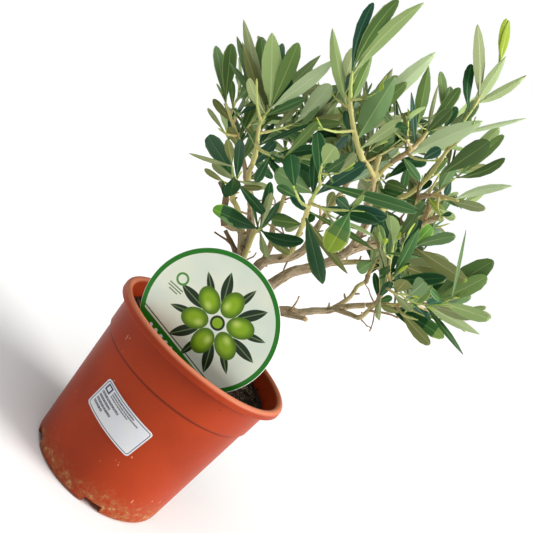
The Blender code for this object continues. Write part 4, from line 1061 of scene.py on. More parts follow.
corners, limbs = growLimbs()
twigs, leaves, crowd = growFoliage(corners, limbs)
print("grown:", sum(len(found) for found in leaves.values()), "leaves as in the source")


# Bark: the limbs' bars joined into one skin, then raised and sunk by its grain, its nodes and its knots.
barkSettings = dict(
    voxel=0.56, sides=14, pitch=0.9, smoothing=6, grain=0.34, grainWidth=1.15, grainLength=7.0, lumps=0.3,
    lumpSize=4.2, nodeEvery=13.0, nodeHeight=0.32, nodeWidth=1.3,
    stubs=("stub_left", "stub_right", "stub_up_a", "stub_up_b"),
    youngLimbs=("bough_upper_left", "bough_top", "bough_left_up", "bough_centre_front", "bough_front",
                "bough_low_left"),
    color=(154, 134, 106), groove=(92, 74, 54), ridge=(190, 172, 142), moss=(142, 140, 110),
    wood=(206, 178, 134), green=(196, 188, 116), specks=(108, 88, 66),
    spurEvery=13.0, spurLength=(1.5, 4.0), twigLength=(9, 24), twigShare=0.3, spurRadius=(0.55, 0.95),
    spurColors=[(132, 108, 80), (164, 140, 104), (192, 168, 120)]
)

# Carried on from there: pairs between the rule's pairs, side shoots in the axils, and buds at the tips.
finerSettings = dict(
    between=(0.45, 0.8), betweenLength=(0.6, 1.0), stemPairs=(0.3, 0.55, 0.8), stemLeaf=(24, 42),
    sideShares=(0.3, 0.65), sideLength=(10, 24), sideSpread=(32, 58), sideLeaf=(18, 32),
    budLength=(7, 15), width=(0.17, 0.25), room=0.22, tries=8, margin=0.25,
    shownStems=("foliage_left", "foliage_left_top", "foliage_front", "foliage_upper_left", "foliage_top",
                "foliage_upper_centre"),
    mustShow=1e4, stemClear=1.5, leafSamples=(0.3, 0.5, 0.7, 0.9), clearShare=0.2, longLeaf=45, longWorth=3,
    footShare=0.2, halfShare=0.36, mayHide=2, pairSpread=50, stemSpread=52, budSpread=(16, 18, 12),
    sideLift=0.12, sideRadius=0.6, sidePairs=((0.55, 48), (1.0, 26))
)


# Gaps that stay open to the sky, each (x, z, radius) in the upright plane through the trunk.
openings = [
    (39, 369, 6), (39, 361, 4), (66, 329, 3), (78, 315, 4), (88, 306, 8), (70, 301, 3), (71, 292, 4),
    (78, 278, 4), (82, 285, 4), (93, 278, 3), (120, 270, 3), (126, 251, 3), (125, 239, 4), (117, 238, 3),
    (41, 307, 3), (-94, 316, 7), (-78, 315, 4), (-61, 335, 3), (-35, 337, 5), (18, 354, 3), (-11, 343, 3),
    (-7, 332, 3), (-110, 243, 5), (-100, 236, 5), (-90, 236, 4), (-84, 235, 3), (-89, 224, 3), (-79, 216, 4),
    (-106, 251, 3), (-94, 260, 3), (-44, 210, 3), (-20, 231, 5), (-5, 242, 4), (-24, 357, 4), (118, 222, 6),
    (20, 382, 3), (57, 316, 4), (64, 317, 3), (29, 311, 3), (22, 291, 3), (7, 343, 3), (-56, 316, 3),
    (-74, 307, 3), (-54, 311, 3), (-2, 254, 3), (-13, 214, 3), (73, 274, 3), (66, 299, 3), (55, 339, 3),
    (40, 343, 3), (-65, 313, 3)
]

# Leaves at places of their own, on the masses' twigs; a ninth number bows the leaf to its left.
extraLeaves = {
    "foliage_left_top": [
        (0, 0.9, 173, 28, 55, 8, -1, "leek"), (0, 0.9, 172, 35, 64, 9, -1, "sage"),
        (0, 0.9, 184, 31, 48, 8.5, -1, "olive"), (0, 1.0, 188, 51, 47, 14, -1, "pale"),
        (0, 1.0, 180, 73, 45, 11, 1, "fern"), (0, 1.0, 338, 75, 51, 9, -1, "milk"),
        (1, 1.0, 293, 83, 34, 12, -1, "milk", -0.12), (3, 0.2, 172, 45, 50, 11, 1, "moss"),
        (0, 1.0, 167, 59, 43, 7, 1, "dark"), (3, 0.2, 186, 13, 40, 5, 1, "leek"),
        (1, 1.0, 341, 37, 31, 6.5, 1, "fern"), (2, 0.75, 303, 85, 30, 6, 1, "fern"),
        (5, 0.2, 342, 60, 38, 3.5, 1, "deep"), (0, 0.85, 336, 60, 29, 6.5, 1, "mid"),
        (0, 0.95, 115, 78, 26, 8, 1, "deep"), (5, 1.0, 29, -77, 18, 6.5, 1, "dark"),
        (0, 0.0, 0, 2, 17, 6, 1, "dark")],
    "foliage_left": [
        (0, 1.0, 178, 39, 39, 9, 1, "leek", -0.05), (0, 1.0, 191, 56, 39, 10.5, 1, "moss"),
        (5, 0.6, 189, 14, 20, 3.5, -1, "sage"), (0, 0.75, 189, 10, 21, 6, -1, "olive"),
        (0, 0.15, 304, 76, 30, 8, 1, "teal"), (0, 0.4, 197, 22, 19, 7, -1, "olive"),
        (0, 0.05, 29, 57, 15, 6, -1, "olive"), (2, 0.25, 180, 47, 20, 5, 1, "moss")],
    "foliage_upper_left": [
        (2, 0.15, 183, 38, 48, 8.5, -1, "pale", 0.1), (0, 0.15, 175, 28, 24, 8, 1, "deep"),
        (0, 1.0, 180, 66, 42, 7, 1, "teal", 0.27), (0, 1.0, 198, 82, 49, 9.5, 1, "moss", 0.23),
        (0, 0.95, 322, 84, 59, 9, -1, "pale", 0.22), (0, 0.65, 168, 72, 33, 7, -1, "fern"),
        (3, 0.75, 29, 82, 60, 11.5, -1, "milk"), (3, 0.35, 44, 82, 41, 8.5, -1, "fern")],
    "foliage_left_low": [
        (1, 0.1, 186, 17, 32, 12.5, 1, "deep"), (0, 0.8, 354, -7, 28, 7, 1, "dark"),
        (2, 0.5, 191, -7, 16, 4, -1, "olive"), (1, 1.0, 187, -24, 27, 3, -1, "sage"),
        (0, 0.9, 180, -3, 19, 6.5, -1, "sage"), (1, 1.0, 189, 39, 16, 5.5, -1, "olive"),
        (0, 0.0, 0, 37, 17, 4, -1, "olive")],
    "foliage_back_left": [
        (6, 0.1, 15, 55, 27, 12, 1, "deep")],
    "foliage_front": [
        (3, 1.0, 184, 42, 19, 10, 1, "dark"), (0, 1.0, 356, 25, 59, 9, 1, "mid"),
        (0, 0.8, 191, -10, 27, 13, -1, "leek"), (0, 0.75, 334, 71, 35, 9, 1, "teal"),
        (0, 0.25, 329, -30, 45, 10.5, 1, "speck"), (0, 0.4, 351, 11, 47, 4.5, 1, "moss"),
        (0, 0.7, 187, 52, 27, 7, 1, "deep"), (2, 1.0, 315, -73, 25, 14, 1, "midLime"),
        (0, 0.0, 180, -31, 20, 9, 1, "mid"), (0, 0.35, 180, 12, 15, 8, 1, "teal"),
        (0, 0.0, 197, -56, 12, 5, -1, "sage"), (0, 0.0, 197, -31, 20, 8, 1, "moss"),
        (2, 1.0, 180, 1, 10, 7, 1, "dark"), (3, 0.65, 180, -12, 14, 6, 1, "mid"),
        (2, 0.45, 135, 66, 11, 5, -1, "olive"), (0, 0.0, 36, 78, 9, 5.5, 1, "deep")],
    "foliage_upper_centre": [
        (2, 0.55, 180, 59, 43, 10, -1, "fern"), (0, 0.8, 192, 60, 30, 3, -1, "sage"),
        (0, 0.75, 224, 83, 35, 8, 1, "moss"), (0, 0.75, 287, 76, 22, 8, 1, "moss"),
        (0, 0.45, 189, 43, 34, 5, 1, "teal"), (3, 0.2, 327, 61, 49, 12, -1, "milk"),
        (3, 0.75, 323, 67, 13, 7, 1, "teal"), (0, 0.15, 0, -12, 20, 7, 1, "mid"),
        (0, 0.05, 10, 33, 20, 8, 1, "deep")],
    "foliage_top": [
        (3, 0.95, 174, 43, 39, 9, 1, "fern"), (3, 0.85, 209, 76, 18, 8, 1, "dark"),
        (1, 0.25, 206, 39, 47, 10.5, -1, "sage", -0.1), (0, 0.95, 194, 47, 31, 7.5, 1, "dark", 0.36),
        (1, 1.0, 180, 56, 28, 6.5, -1, "lime", 0.1), (1, 0.95, 180, 61, 30, 6, 1, "lime"),
        (1, 0.1, 351, 70, 36, 6.5, -1, "creamTip", -0.16), (0, 0.95, 236, 71, 41, 8, -1, "cream", -0.03),
        (0, 0.75, 360, 54, 47, 3.5, -1, "milk"), (2, 1.0, 51, 85, 42, 10, -1, "pale", -0.04),
        (0, 0.1, 180, -19, 19, 8, 1, "moss"), (0, 0.2, 310, 85, 28, 7, -1, "fern"),
        (0, 0.0, 147, 59, 21, 7, 1, "mid"), (3, 1.0, 198, 51, 25, 8, 1, "moss")],
    "foliage_upper_right": [
        (2, 1.0, 326, 83, 42, 7.5, 1, "fern"), (2, 1.0, 341, 62, 34, 7, 1, "moss", -0.35),
        (0, 0.9, 352, 54, 39, 6.5, -1, "milk", 0.2), (3, 0.15, 0, 27, 27, 8, -1, "sage", -0.08),
        (2, 0.25, 219, 72, 21, 10, -1, "leek"), (2, 0.8, 299, -61, 12, 5, 1, "teal"),
        (1, 0.0, 360, -6, 17, 8.5, 1, "yellow"), (4, 0.5, 8, 10, 14, 6, -1, "pale"),
        (4, 1.0, 331, 51, 7, 3, 1, "dark")],
    "foliage_right_front": [
        (1, 1.0, 0, 55, 28, 8, -1, "leek", 0.1), (1, 1.0, 17, 57, 19, 6.5, 1, "dark"),
        (1, 1.0, 344, 8, 41, 12.5, -1, "browned"), (0, 0.85, 348, 45, 35, 9, 1, "deep"),
        (1, 0.4, 6, 21, 31, 10, -1, "olive"), (2, 0.5, 262, 47, 15, 11, -1, "olive"),
        (2, 0.35, 334, -2, 18, 5.5, -1, "sage"), (0, 0.1, 254, 52, 18, 6.5, 1, "deep"),
        (0, 0.05, 172, 40, 18, 5, 1, "dark"), (0, 0.0, 0, 59, 10, 5, 1, "mid")],
    "foliage_right": [
        (4, 0.25, 0, 75, 52, 14.5, 1, "moss", 0.07), (4, 0.25, 346, 67, 43, 12, 1, "fern", -0.1),
        (4, 0.7, 354, 23, 32, 9.5, -1, "pale"), (4, 0.15, 351, 13, 41, 8, -1, "cream"),
        (4, 0.3, 345, 26, 31, 8, -1, "sage"), (0, 0.4, 349, 10, 42, 11, 1, "deepFresh"),
        (3, 0.15, 351, -7, 32, 9.5, -1, "olive", -0.06), (4, 1.0, 194, 57, 44, 2.6, 1, "leek"),
        (0, 0.3, 354, 10, 28, 9, 1, "deep"), (3, 0.4, 197, -20, 15, 5, -1, "olive")],
    "foliage_back": [
        (4, 1.0, 327, 1, 28, 5.5, -1, "leek"), (1, 0.7, 176, -22, 32, 7, 1, "mid"),
        (1, 0.85, 194, 33, 10, 6, -1, "olive"), (1, 0.95, 294, 80, 13, 5.5, 1, "deep"),
        (1, 1.0, 167, 14, 18, 8, -1, "olive")],
    "foliage_front_low": [
        (0, 0.7, 214, -12, 36, 13, 1, "deepLime"), (0, 0.7, 180, 62, 31, 7, 1, "dark"),
        (0, 1.0, 330, 25, 33, 9, 1, "deep", -0.42), (0, 1.0, 0, 1, 25, 6, -1, "olive")],
    "foliage_back_centre": [
        (4, 1.0, 43, 71, 27, 8, 1, "dark")],
}

# The top of one stem stands a little further left than the source's.
stemTops = {"foliage_upper_left": [(-37.2, -34.0, 312.1), (-42.1, -35.9, 319.0)]}


def ontoPlane(points, s=cameraSettings):
    # where points appear in the upright plane through the trunk, as the camera sees them
    eye = np.array(s["place"]) / mm
    share = eye[1] / (eye[1] - points[..., 1])
    return eye[[0, 2]] + (points[..., [0, 2]] - eye[[0, 2]]) * share[..., None]


def keptInView(twigs, leaves, s=finerSettings):
    # rows of x, z, radius, depth and worth: a leaf nearer than the depth hides what lies within the radius
    def rows(line, radius, nearer, worth):
        worths = np.full((len(line), 1), worth)
        return np.column_stack([ontoPlane(line), np.full(len(line), radius), line[:, 1] + nearer, worths])

    found = [np.column_stack([np.array(openings, float), np.full((len(openings), 2), s["mustShow"])])]
    for name in s["shownStems"]:
        found.append(rows(easedRoute(twigs[name][0], 4), s["stemClear"], 1, s["mustShow"]))
    for root, way, _, length, width, seen, *_ in (leaf for mass in leaves.values() for leaf in mass):
        if seen:
            spine = root + np.outer(np.array(s["leafSamples"]) * length, way)
            worth = s["longWorth"] if length > s["longLeaf"] else 1
            found.append(rows(spine, s["clearShare"] * width, -1, worth))
    return np.vstack(found)


def covers(root, tip, width, kept, worth=0, s=finerSettings):
    # whether a leaf, but for its foot, comes in front of more than this worth of what is kept in view
    ends = ontoPlane(np.array([root + s["footShare"] * (tip - root), tip]))
    along = ends[1] - ends[0]
    share = np.clip(((kept[:, :2] - ends[0]) @ along) / max(along @ along, 1e-6), 0, 1)
    gap = np.linalg.norm(kept[:, :2] - ends[0] - share[:, None] * along, axis=1)
    depth = root[1] + (s["footShare"] + (1 - s["footShare"]) * share) * (tip[1] - root[1])
    return kept[(gap < kept[:, 2] + s["halfShare"] * width) & (depth < kept[:, 3]), 4].sum() > worth


def boxOf(name, margin):
    # a solid's lowest and highest corners in millimetres, drawn in by a margin
    low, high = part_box(name)
    return np.array(low) / mm + margin, np.array(high) / mm - margin


def pairAt(ahead, turn, spread, chance, s=growthSettings):
    # the two ways that a pair's leaves point, at this turn round the shoot
    return [leafWay(ahead, turn + half, spread, s["leastRise"] * 2, chance) for half in (0, 180)]


def growFiner(name, twigs, crowd, kept, f=finerSettings):
    # pairs between the pairs and along the stem, side shoots with two pairs each, and buds at every tip
    chance = random.Random(f"{name} finer")
    inside = boxOf(name, f["margin"])
    found, sideTwigs = [], []

    def addPair(line, share, length, spread, tone=""):
        root, ahead = placeOn(line, share)
        turn = chance.uniform(0, 180)
        for way in pairAt(ahead, turn, spread, chance):
            size = chance.uniform(*length)
            facing = leafFacing(ahead, chance)
            size = size, size * chance.uniform(*f["width"])
            leaf = growLeaf(name, root, way, facing, size, crowd, chance, f, (inside, kept))
            if leaf:
                found.append((*leaf, 0, tone))

    for line, shoot in zip(twigs[1:], massTable[name]["shoots"]):
        if not shoot[5]:
            continue
        for share in f["between"]:
            addPair(line, share, [part * shoot[6] for part in f["betweenLength"]], f["pairSpread"])
        addPair(line, 1.0, f["budLength"], f["budSpread"][0], "young")
    for share in f["stemPairs"]:
        addPair(twigs[0], share, f["stemLeaf"], f["stemSpread"])
    addPair(twigs[0], 1.0, f["budLength"], f["budSpread"][1], "young")
    for line in twigs:
        for share in f["sideShares"]:
            root, ahead = placeOn(line, share)
            way = pairAt(ahead, chance.uniform(0, 180), chance.uniform(*f["sideSpread"]), chance)[0]
            length = chance.uniform(*f["sideLength"])
            tip = root + length * unit(way + (0, 0, f["sideLift"]))
            twig = np.array([root, root + 0.5 * length * way, tip])
            if outside(twig, inside):
                continue
            radii = np.full(3, f["sideRadius"] + f["room"])
            trial = crowd.measured(name, tubeShape(twig, radii, 3), tubeShape(twig[1:], radii[1:], 3))
            if crowd.meets(trial) or covers(twig[0], twig[-1], 0, kept):
                continue
            crowd.add(trial)
            before = len(found)
            for at, spread in f["sidePairs"]:
                addPair(twig, at, f["sideLeaf"], spread)
            if len(found) > before:
                sideTwigs.append(twig)
                addPair(twig, 1.0, f["budLength"], f["budSpread"][2], "young")
    return found, sideTwigs


def drawLeaves(name, table, s=growthSettings):
    # leaves that stand just as their row says
    for origin, fraction, heading, rise, length, width, seen, tone, *bow in table:
        line = twigs[name][origin]
        root = placeOn(line[1:] if origin == 0 else line, fraction)[0]
        ahead, facing = towards(heading, rise), seen * np.array(s["outlineFace"])
        facing = unit(facing - facing.dot(ahead) * ahead)
        size = (length, width, s["thickness"])
        shapes = [leafShape(root, ahead, facing, *size, start) for start in (0, s["rootShare"])]
        crowd.add(crowd.measured(name, *shapes))
        leaves[name].append((root, ahead, facing, length, width, seen, tone, seen * sum(bow)))


for name, found in leaves.items():
    leaves[name] = [leaf for leaf in found if leaf[6] or not leaf[5]]
for name, top in stemTops.items():
    twigs[name][0][-len(top):] = top
for name, table in extraLeaves.items():
    drawLeaves(name, table)
print("placed", sum(1 for found in leaves.values() for leaf in found if leaf[5]), "leaves one by one")
kept = keptInView(twigs, leaves)
finerTwigs = {}
for name in massTable:
    leaves[name] = [leaf for leaf in leaves[name] if leaf[5] or not covers(
        leaf[0], leaf[0] + leaf[3] * leaf[1], leaf[4], kept, finerSettings["mayHide"])]
print("kept", sum(len(found) for found in leaves.values()), "clear of the gaps and of what stands behind")
for name in massTable:
    found, finerTwigs[name] = growFiner(name, twigs[name], crowd, kept)
    leaves[name] += found
print("carried on to", sum(len(found) for found in leaves.values()), "leaves and",
      sum(len(found) for found in finerTwigs.values()), "side shoots")

# Leaf tones: the blade's color and its midrib's, each a plain color dealt out leaf by leaf.
leafTones = {
    "deep": ((19, 66, 28), (50, 96, 46)), "dark": ((32, 78, 38), (76, 116, 60)),
    "teal": ((36, 80, 58), (80, 120, 86)), "mid": ((58, 102, 48), (104, 138, 74)),
    "moss": ((78, 108, 52), (122, 144, 78)), "fern": ((104, 134, 68), (144, 164, 96)),
    "fresh": ((128, 158, 80), (162, 182, 106)), "grass": ((92, 146, 40), (150, 180, 70)),
    "lime": ((160, 184, 58), (186, 200, 92)), "leek": ((104, 136, 84), (140, 162, 106)),
    "sage": ((138, 150, 102), (164, 170, 120)), "olive": ((116, 124, 70), (150, 150, 94)),
    "pale": ((148, 172, 108), (176, 192, 130)), "frost": ((134, 162, 126), (160, 182, 150)),
    "cream": ((176, 196, 136), (196, 212, 156)), "dry": ((154, 130, 74), (166, 148, 92)),
    "milk": ((194, 216, 164), (208, 224, 178)), "yellow": ((116, 140, 44), (146, 164, 70))
}
# Tones for leaves near the crown's middle: darker ones, a painted shade for the inside of the crown.
innerShadeTones = ("deep", "deep", "deep", "dark", "dark", "teal", "mid", "moss")
lowTones = ("deep", "deep", "deep", "dark", "dark", "teal", "mid", "mid", "moss", "fern", "leek")
highTones = ("deep", "dark", "dark", "mid", "mid", "moss", "moss", "fern", "fern", "leek", "leek", "teal",
             "pale")
underTones = ("sage", "sage", "olive", "leek", "pale", "pale", "frost")

# Tones that change along a leaf: its main one, the next, the last, and the row of faces with the next.
turningTones = {
    "deepLime": ("deep", "dark", "grass", 5), "deepFresh": ("deep", "mid", "fresh", 5),
    "creamTip": ("cream", "cream", "dry", 6), "browned": ("olive", "olive", "yellow", 6),
    "speck": ("deep", "deep", "dark", 6), "midLime": ("mid", "moss", "yellow", 4),
    "young": ("fern", "fern", "fresh", 3)
}

leafSettings = dict(
    stations=(0.02, 0.1, 0.24, 0.43, 0.64, 0.83, 0.945, 0.988), lowest=215.0, highest=350.0,
    middle=(0, 0, 285), innerShadeReach=82.0, innerShadePlay=(0.6, 1.1), widened=1.14, edge=0.84, edged=0.5,
    nearTwig=2.5, toTwig=0.8, slimRatio=0.23, slimLength=24, slimUnder=42, slimFoot=(0.75, 0.95),
    fullFoot=(0.95, 1.25), ripples=9, petiole=0.9, tipEnds=(-0.015, 1.0),
    ribHalf=0.5, petioleHalf=0.62, bladeStart=0.06, thickness=0.34, ridge=0.42, groove=0.22,
    bendPlay=(-0.03, 0.13), sway=0.05, twist=26, fold=(4, 26), roll=(0.0, 0.16), ripple=0.035,
    roundness=(0.5, 0.62), pointed=(0.8, 1.0), topRoughness=0.42, underRoughness=0.62
)
print("tones set")


def leafFinishes(s=leafSettings):
    # one plain finish for each tone's blade and midrib; the top is waxy and the underside felted
    finishes = {}
    for tone, (blade, rib) in leafTones.items():
        felted = tone in underTones or tone in ("cream", "milk")
        rough = s["underRoughness"] if felted else s["topRoughness"]
        gloss = {"Specular IOR Level": 0.2 if felted else 0.3}
        finishes[tone] = Finish(f"leaf_{tone}", blade, rough, gloss)
        finishes[tone + "Rib"] = Finish(f"midrib_{tone}", rib, 0.5, {"Specular IOR Level": 0.4})
    return finishes


def leafSurface(found, line, seed, s=leafSettings):
    # Each leaf is a closed surface over u along it and a ring of columns round it. Its spine runs
    # root + L (u ahead + u (1 - u) (bend up + sway across)); half its width is W/2 t^a (1 - t)^b over that
    # function's greatest value; a point stands off the spine by v times that, raised by the fold |v|,
    # rolled down by v^2, rippled along the margin, sunk at the midrib above and proud of it below.
    rng = np.random.default_rng(seed)
    count = len(found)
    roots, ahead, facing = (np.array([leaf[i] for leaf in found]) for i in range(3))
    length, width = (np.array([leaf[i] for leaf in found])[:, None] for i in (3, 4))
    plain = np.array([not leaf[5] for leaf in found])[:, None]
    width = width * np.where(plain, s["widened"], 1)
    nearest = np.linalg.norm(roots[:, None] - line[None], axis=-1).argmin(axis=1)
    shift = line[nearest] - roots
    near = np.linalg.norm(shift, axis=1, keepdims=True) < s["nearTwig"]
    roots = roots + np.where(near, shift, 0) * s["toTwig"]
    across = unit(np.cross(facing, ahead))
    up = np.cross(ahead, across)

    def drawn(low, high):
        return rng.uniform(low, high, (count, 1))

    bow = np.array([leaf[7] if len(leaf) > 7 else 0 for leaf in found])[:, None]
    bend, sway = drawn(*s["bendPlay"]), drawn(-s["sway"], s["sway"]) * (bow == 0) + bow
    twist = np.radians(drawn(-s["twist"], s["twist"])) * np.where(plain, 1, 0.5)
    fold = np.tan(np.radians(drawn(*s["fold"]))) * np.where(plain, 1, 0.5)
    roll, ripple, phase = drawn(*s["roll"]), drawn(0, s["ripple"]), drawn(0, 6.3)
    under = np.array([leaf[5] for leaf in found])[:, None] < 0
    slender = np.clip((s["slimRatio"] - width / length) / 0.1, 0, 1) * (length > s["slimLength"])
    slim = (drawn(0, 1) < slender) | (under & (length > s["slimUnder"]))
    a = np.where(slim, drawn(*s["slimFoot"]), drawn(*s["fullFoot"]))
    b = np.where(slim, drawn(*s["pointed"]), drawn(*s["roundness"]))
    u = np.array(s["stations"])[None, :]
    t = np.clip((u - s["bladeStart"]) / (1 - s["bladeStart"]), 1e-4, 1)
    peak = (a / (a + b)) ** a * (b / (a + b)) ** b
    half = 0.5 * width * t**a * (1 - t) ** b / peak
    petiole = s["petioleHalf"] * np.minimum(1, length / 30)
    half = np.maximum(half, petiole * np.where(u < 0.3, 1, 0))

    def along(share):
        # the spine's points and the frame there, turned about the spine by the twist
        share = share[..., None]
        sideways = bend[..., None] * up[:, None] + sway[..., None] * across[:, None]
        spine = share * ahead[:, None] + share * (1 - share) * sideways
        spine = roots[:, None] + length[..., None] * spine
        way = unit(ahead[:, None] + (1 - 2 * share) * sideways)
        flat = unit(across[:, None] - (across[:, None] * way).sum(axis=-1, keepdims=True) * way)
        raised = np.cross(way, flat)
        cosine, sine = np.cos(twist[..., None] * share), np.sin(twist[..., None] * share)
        return spine, cosine * flat + sine * raised, cosine * raised - sine * flat

    spine, flat, raised = along(np.broadcast_to(u, (count, u.shape[1])))
    rib = np.minimum(s["ribHalf"] * (1 - 0.75 * u) * np.minimum(1, width / 6), 0.35 * half)
    blade = np.clip((u - 0.02) / 0.2, 0, 1)
    body = s["thickness"] + s["petiole"] * (1 - blade)  # the petiole is rounder than the blade
    lateral, height = [], []
    inner = s["edge"] * half
    for column, side in enumerate((-half, -inner, -rib, rib, inner, half)):
        share = side / half
        wave = ripple * width * np.sin(s["ripples"] * u + phase + 1.5 * np.sign(share)) * share**2 * blade
        top = 0 if column in (0, 5) else 0.5 * body
        sunk = s["groove"] * blade if column in (2, 3) else 0
        lateral.append(side)
        height.append(fold * np.abs(side) * blade - roll * half * share**2 * blade + wave + top - sunk)
    for side in (rib, -rib):
        lateral.append(side)
        height.append(-0.5 * body - s["ridge"] * blade * (1 - 0.6 * u) + 0 * half)
    lateral, height = (np.stack(columns, axis=-1)[..., None] for columns in (lateral, height))
    points = spine[:, :, None] + lateral * flat[:, :, None] + height * raised[:, :, None]
    return points, along(np.broadcast_to(np.array([s["tipEnds"]]), (count, 2)))[0]


def toneRows(tone, other, seen, rows, names, edged):
    # material numbers of one leaf's faces, rows by 5 strips on top and 3 beneath; edged has a paler margin
    main, between, turned, change = turningTones.get(tone, (tone, tone, tone, rows))
    back, backTurned = other, other if tone != "young" else "lime"
    kinds = np.zeros((rows, 8), int)
    for row in range(rows):
        front = main if row < change else between if row == change else turned
        rear = back if row <= change else backTurned
        top, under = (front, rear) if seen >= 0 else (rear, front)
        kinds[row] = names[top]
        kinds[row, 2] = names[top + "Rib"]
        if edged:
            kinds[row, [0, 4]] = names[top + "Rib"]
        kinds[row, 5:] = names[under]
        kinds[row, 6] = names[under + "Rib"]
    if tone == "browned":
        kinds[5:7, 1] = names["dry"]
        kinds[4:, 4] = names["yellow"]
    return kinds


def makeLeaves(name, found, line, finishes, s=leafSettings):
    chance = random.Random(f"{name} tones")
    points, ends = leafSurface(found, line, [ord(letter) for letter in name])
    count, rows, columns = points.shape[:3]
    whole = np.concatenate([points.reshape(count, -1, 3), ends], axis=1).reshape(-1, 3)
    size = whole.shape[0] // count
    quads, triangles = (repeated(faces, size, count) for faces in closedGrid(rows, columns, True))
    names = {tone: i for i, tone in enumerate(finishes)}
    kinds, fans = [], []
    for leaf in found:
        seen, tone = leaf[5], leaf[6]
        high = (leaf[0][2] - s["lowest"]) / (s["highest"] - s["lowest"])
        tones = highTones if chance.random() < high else lowTones
        # a leaf near the crown's middle takes the darker tones, painted shade for the inside of the crown
        if np.linalg.norm(leaf[0] - s["middle"]) < s["innerShadeReach"] * chance.uniform(*s["innerShadePlay"]):
            tones = innerShadeTones
        if not tone:
            tone = chance.choice(tones)
        elif tone == "young":
            seen = 1
        other = chance.choice(underTones if seen >= 0 else tones)
        if tone == "young":
            other = "pale"
        rowsOf = toneRows(tone, other, seen, rows + 1, names, chance.random() < s["edged"])
        kinds.append(rowsOf[1:-1].ravel())
        fans.append(np.concatenate([rowsOf[0], rowsOf[-1]]))
    kinds = np.concatenate(kinds + fans)
    whole = np.clip(whole, *boxOf(name, 0.0))
    obj = addMesh("leaves_" + name[8:], whole, quads, triangles, list(finishes.values()), kinds)
    obj.data.set_sharp_from_angle(angle=math.radians(75))
    return finishPiece(obj, "leaves", name)


def evenly(points, steps):
    # a route's eased curve, sampled at even distances
    curve = easedRoute(points, 8)
    lengths = arcLengths(curve)
    marks = np.linspace(0, lengths[-1], steps)
    return np.column_stack([np.interp(marks, lengths, curve[:, i]) for i in range(3)])


twigSettings = dict(
    stemShades=(0, 1, 2), youngShades=(2, 2, 3), stemRings=30, shootRings=18, sideRings=9, past=0.7,
    stemEnds=(1.9, 0.95), shootEnds=(1.0, 0.6), sideEnds=(0.65, 0.45), swelling=0.32, nodeEvery=9.0,
    colors=dict(woody=(160, 138, 102), tan=(190, 170, 116), straw=(198, 192, 124), green=(182, 194, 112))
)


def twigBars(routes, rings, ends, sides, s=twigSettings):
    # bars that taper from foot to tip and swell a little at each node along them
    lines = np.stack([evenly(line, rings) for line in routes])
    tips = unit(lines[:, -1] - lines[:, -2])
    lines[:, -1] += s["past"] * tips
    lengths = np.linalg.norm(np.diff(lines, axis=1), axis=-1).sum(axis=1)
    share = np.linspace(0, 1, rings)[None]
    radii = ends[0] + (ends[1] - ends[0]) * share
    node = np.abs(((share * lengths[:, None] / s["nodeEvery"]) + 0.3) % 1 - 0.5) * 2
    radii = radii * (1 + s["swelling"] * np.exp(-((1 - node) * 5) ** 2))
    radii[:, -1] *= 0.6
    return lines, tubes(lines, radii, sides)


def makeTwigs(name, finishes, s=twigSettings):
    young = massTable[name]["bough"] in barkSettings["youngLimbs"]
    shades, shootShades = (s["youngShades"], (2, 3, 3)) if young else (s["stemShades"], (1, 2, 3))
    groups = [(twigs[name][:1], s["stemRings"], s["stemEnds"], 8, shades),
              (twigs[name][1:], s["shootRings"], s["shootEnds"], 6, shootShades),
              (finerTwigs[name], s["sideRings"], s["sideEnds"], 5, (2, 3, 3))]
    bars, kinds, fans, lines = [], [], [], []
    for routes, rings, ends, sides, shades in groups:
        if not len(routes):
            continue
        line, skin = twigBars(routes, rings, ends, sides)
        lines.append(line.reshape(-1, 3))
        bars.append(skin)
        row = np.minimum(3 * np.arange(rings - 1) // (rings - 1), 2)
        kinds.append(np.tile(np.repeat(np.array(shades)[row], sides), len(routes)))
        fans.append(np.tile(np.repeat([shades[0], shades[-1]], sides), len(routes)))
    points, quads, triangles = joined(bars)
    whole = np.clip(points, *boxOf(name, 0.0))
    obj = addMesh("twigs_" + name[8:], whole, quads, triangles, finishes, np.concatenate(kinds + fans))
    finishPiece(obj, "bark", name)
    return np.vstack(lines)


twigFinishes = []
for key, color in twigSettings["colors"].items():
    twigFinishes.append(Finish(f"twig_{key}", color, 0.7, {"Specular IOR Level": 0.3}))
finishes = leafFinishes()
for name in massTable:
    line = makeTwigs(name, twigFinishes)
    makeLeaves(name, leaves[name], line, finishes)
print("foliage made")


def limbLines(s):
    # each limb's centre line at an even pitch: points, ways ahead, two square directions, lengths and radii
    samples = []
    for number, (points, radii) in enumerate(limbs.values()):
        lengths = arcLengths(points)
        curve = easedRoute(points, 6)
        along = arcLengths(curve)
        marks = np.linspace(0, along[-1], max(8, int(along[-1] / s["pitch"])))
        line = np.column_stack([np.interp(marks, along, curve[:, i]) for i in range(3)])
        wide = np.interp(marks, lengths * along[-1] / lengths[-1], radii)
        ahead = unit(np.gradient(line, axis=0))
        side = unit(np.cross(ahead, slanting))
        samples.append((line, ahead, side, np.cross(ahead, side), marks, wide, np.full(len(line), number)))
    return samples


def nearestSamples(points, centres, radii):
    # for each point the sample whose surface is nearest, worked out in blocks of points
    found = []
    for block in np.array_split(points, max(1, len(points) // 3000)):
        square = (block**2).sum(axis=1)[:, None] - 2 * block @ centres.T + (centres**2).sum(axis=1)[None]
        found.append((np.sqrt(np.maximum(square, 0)) - radii[None]).argmin(axis=1))
    return np.concatenate(found)


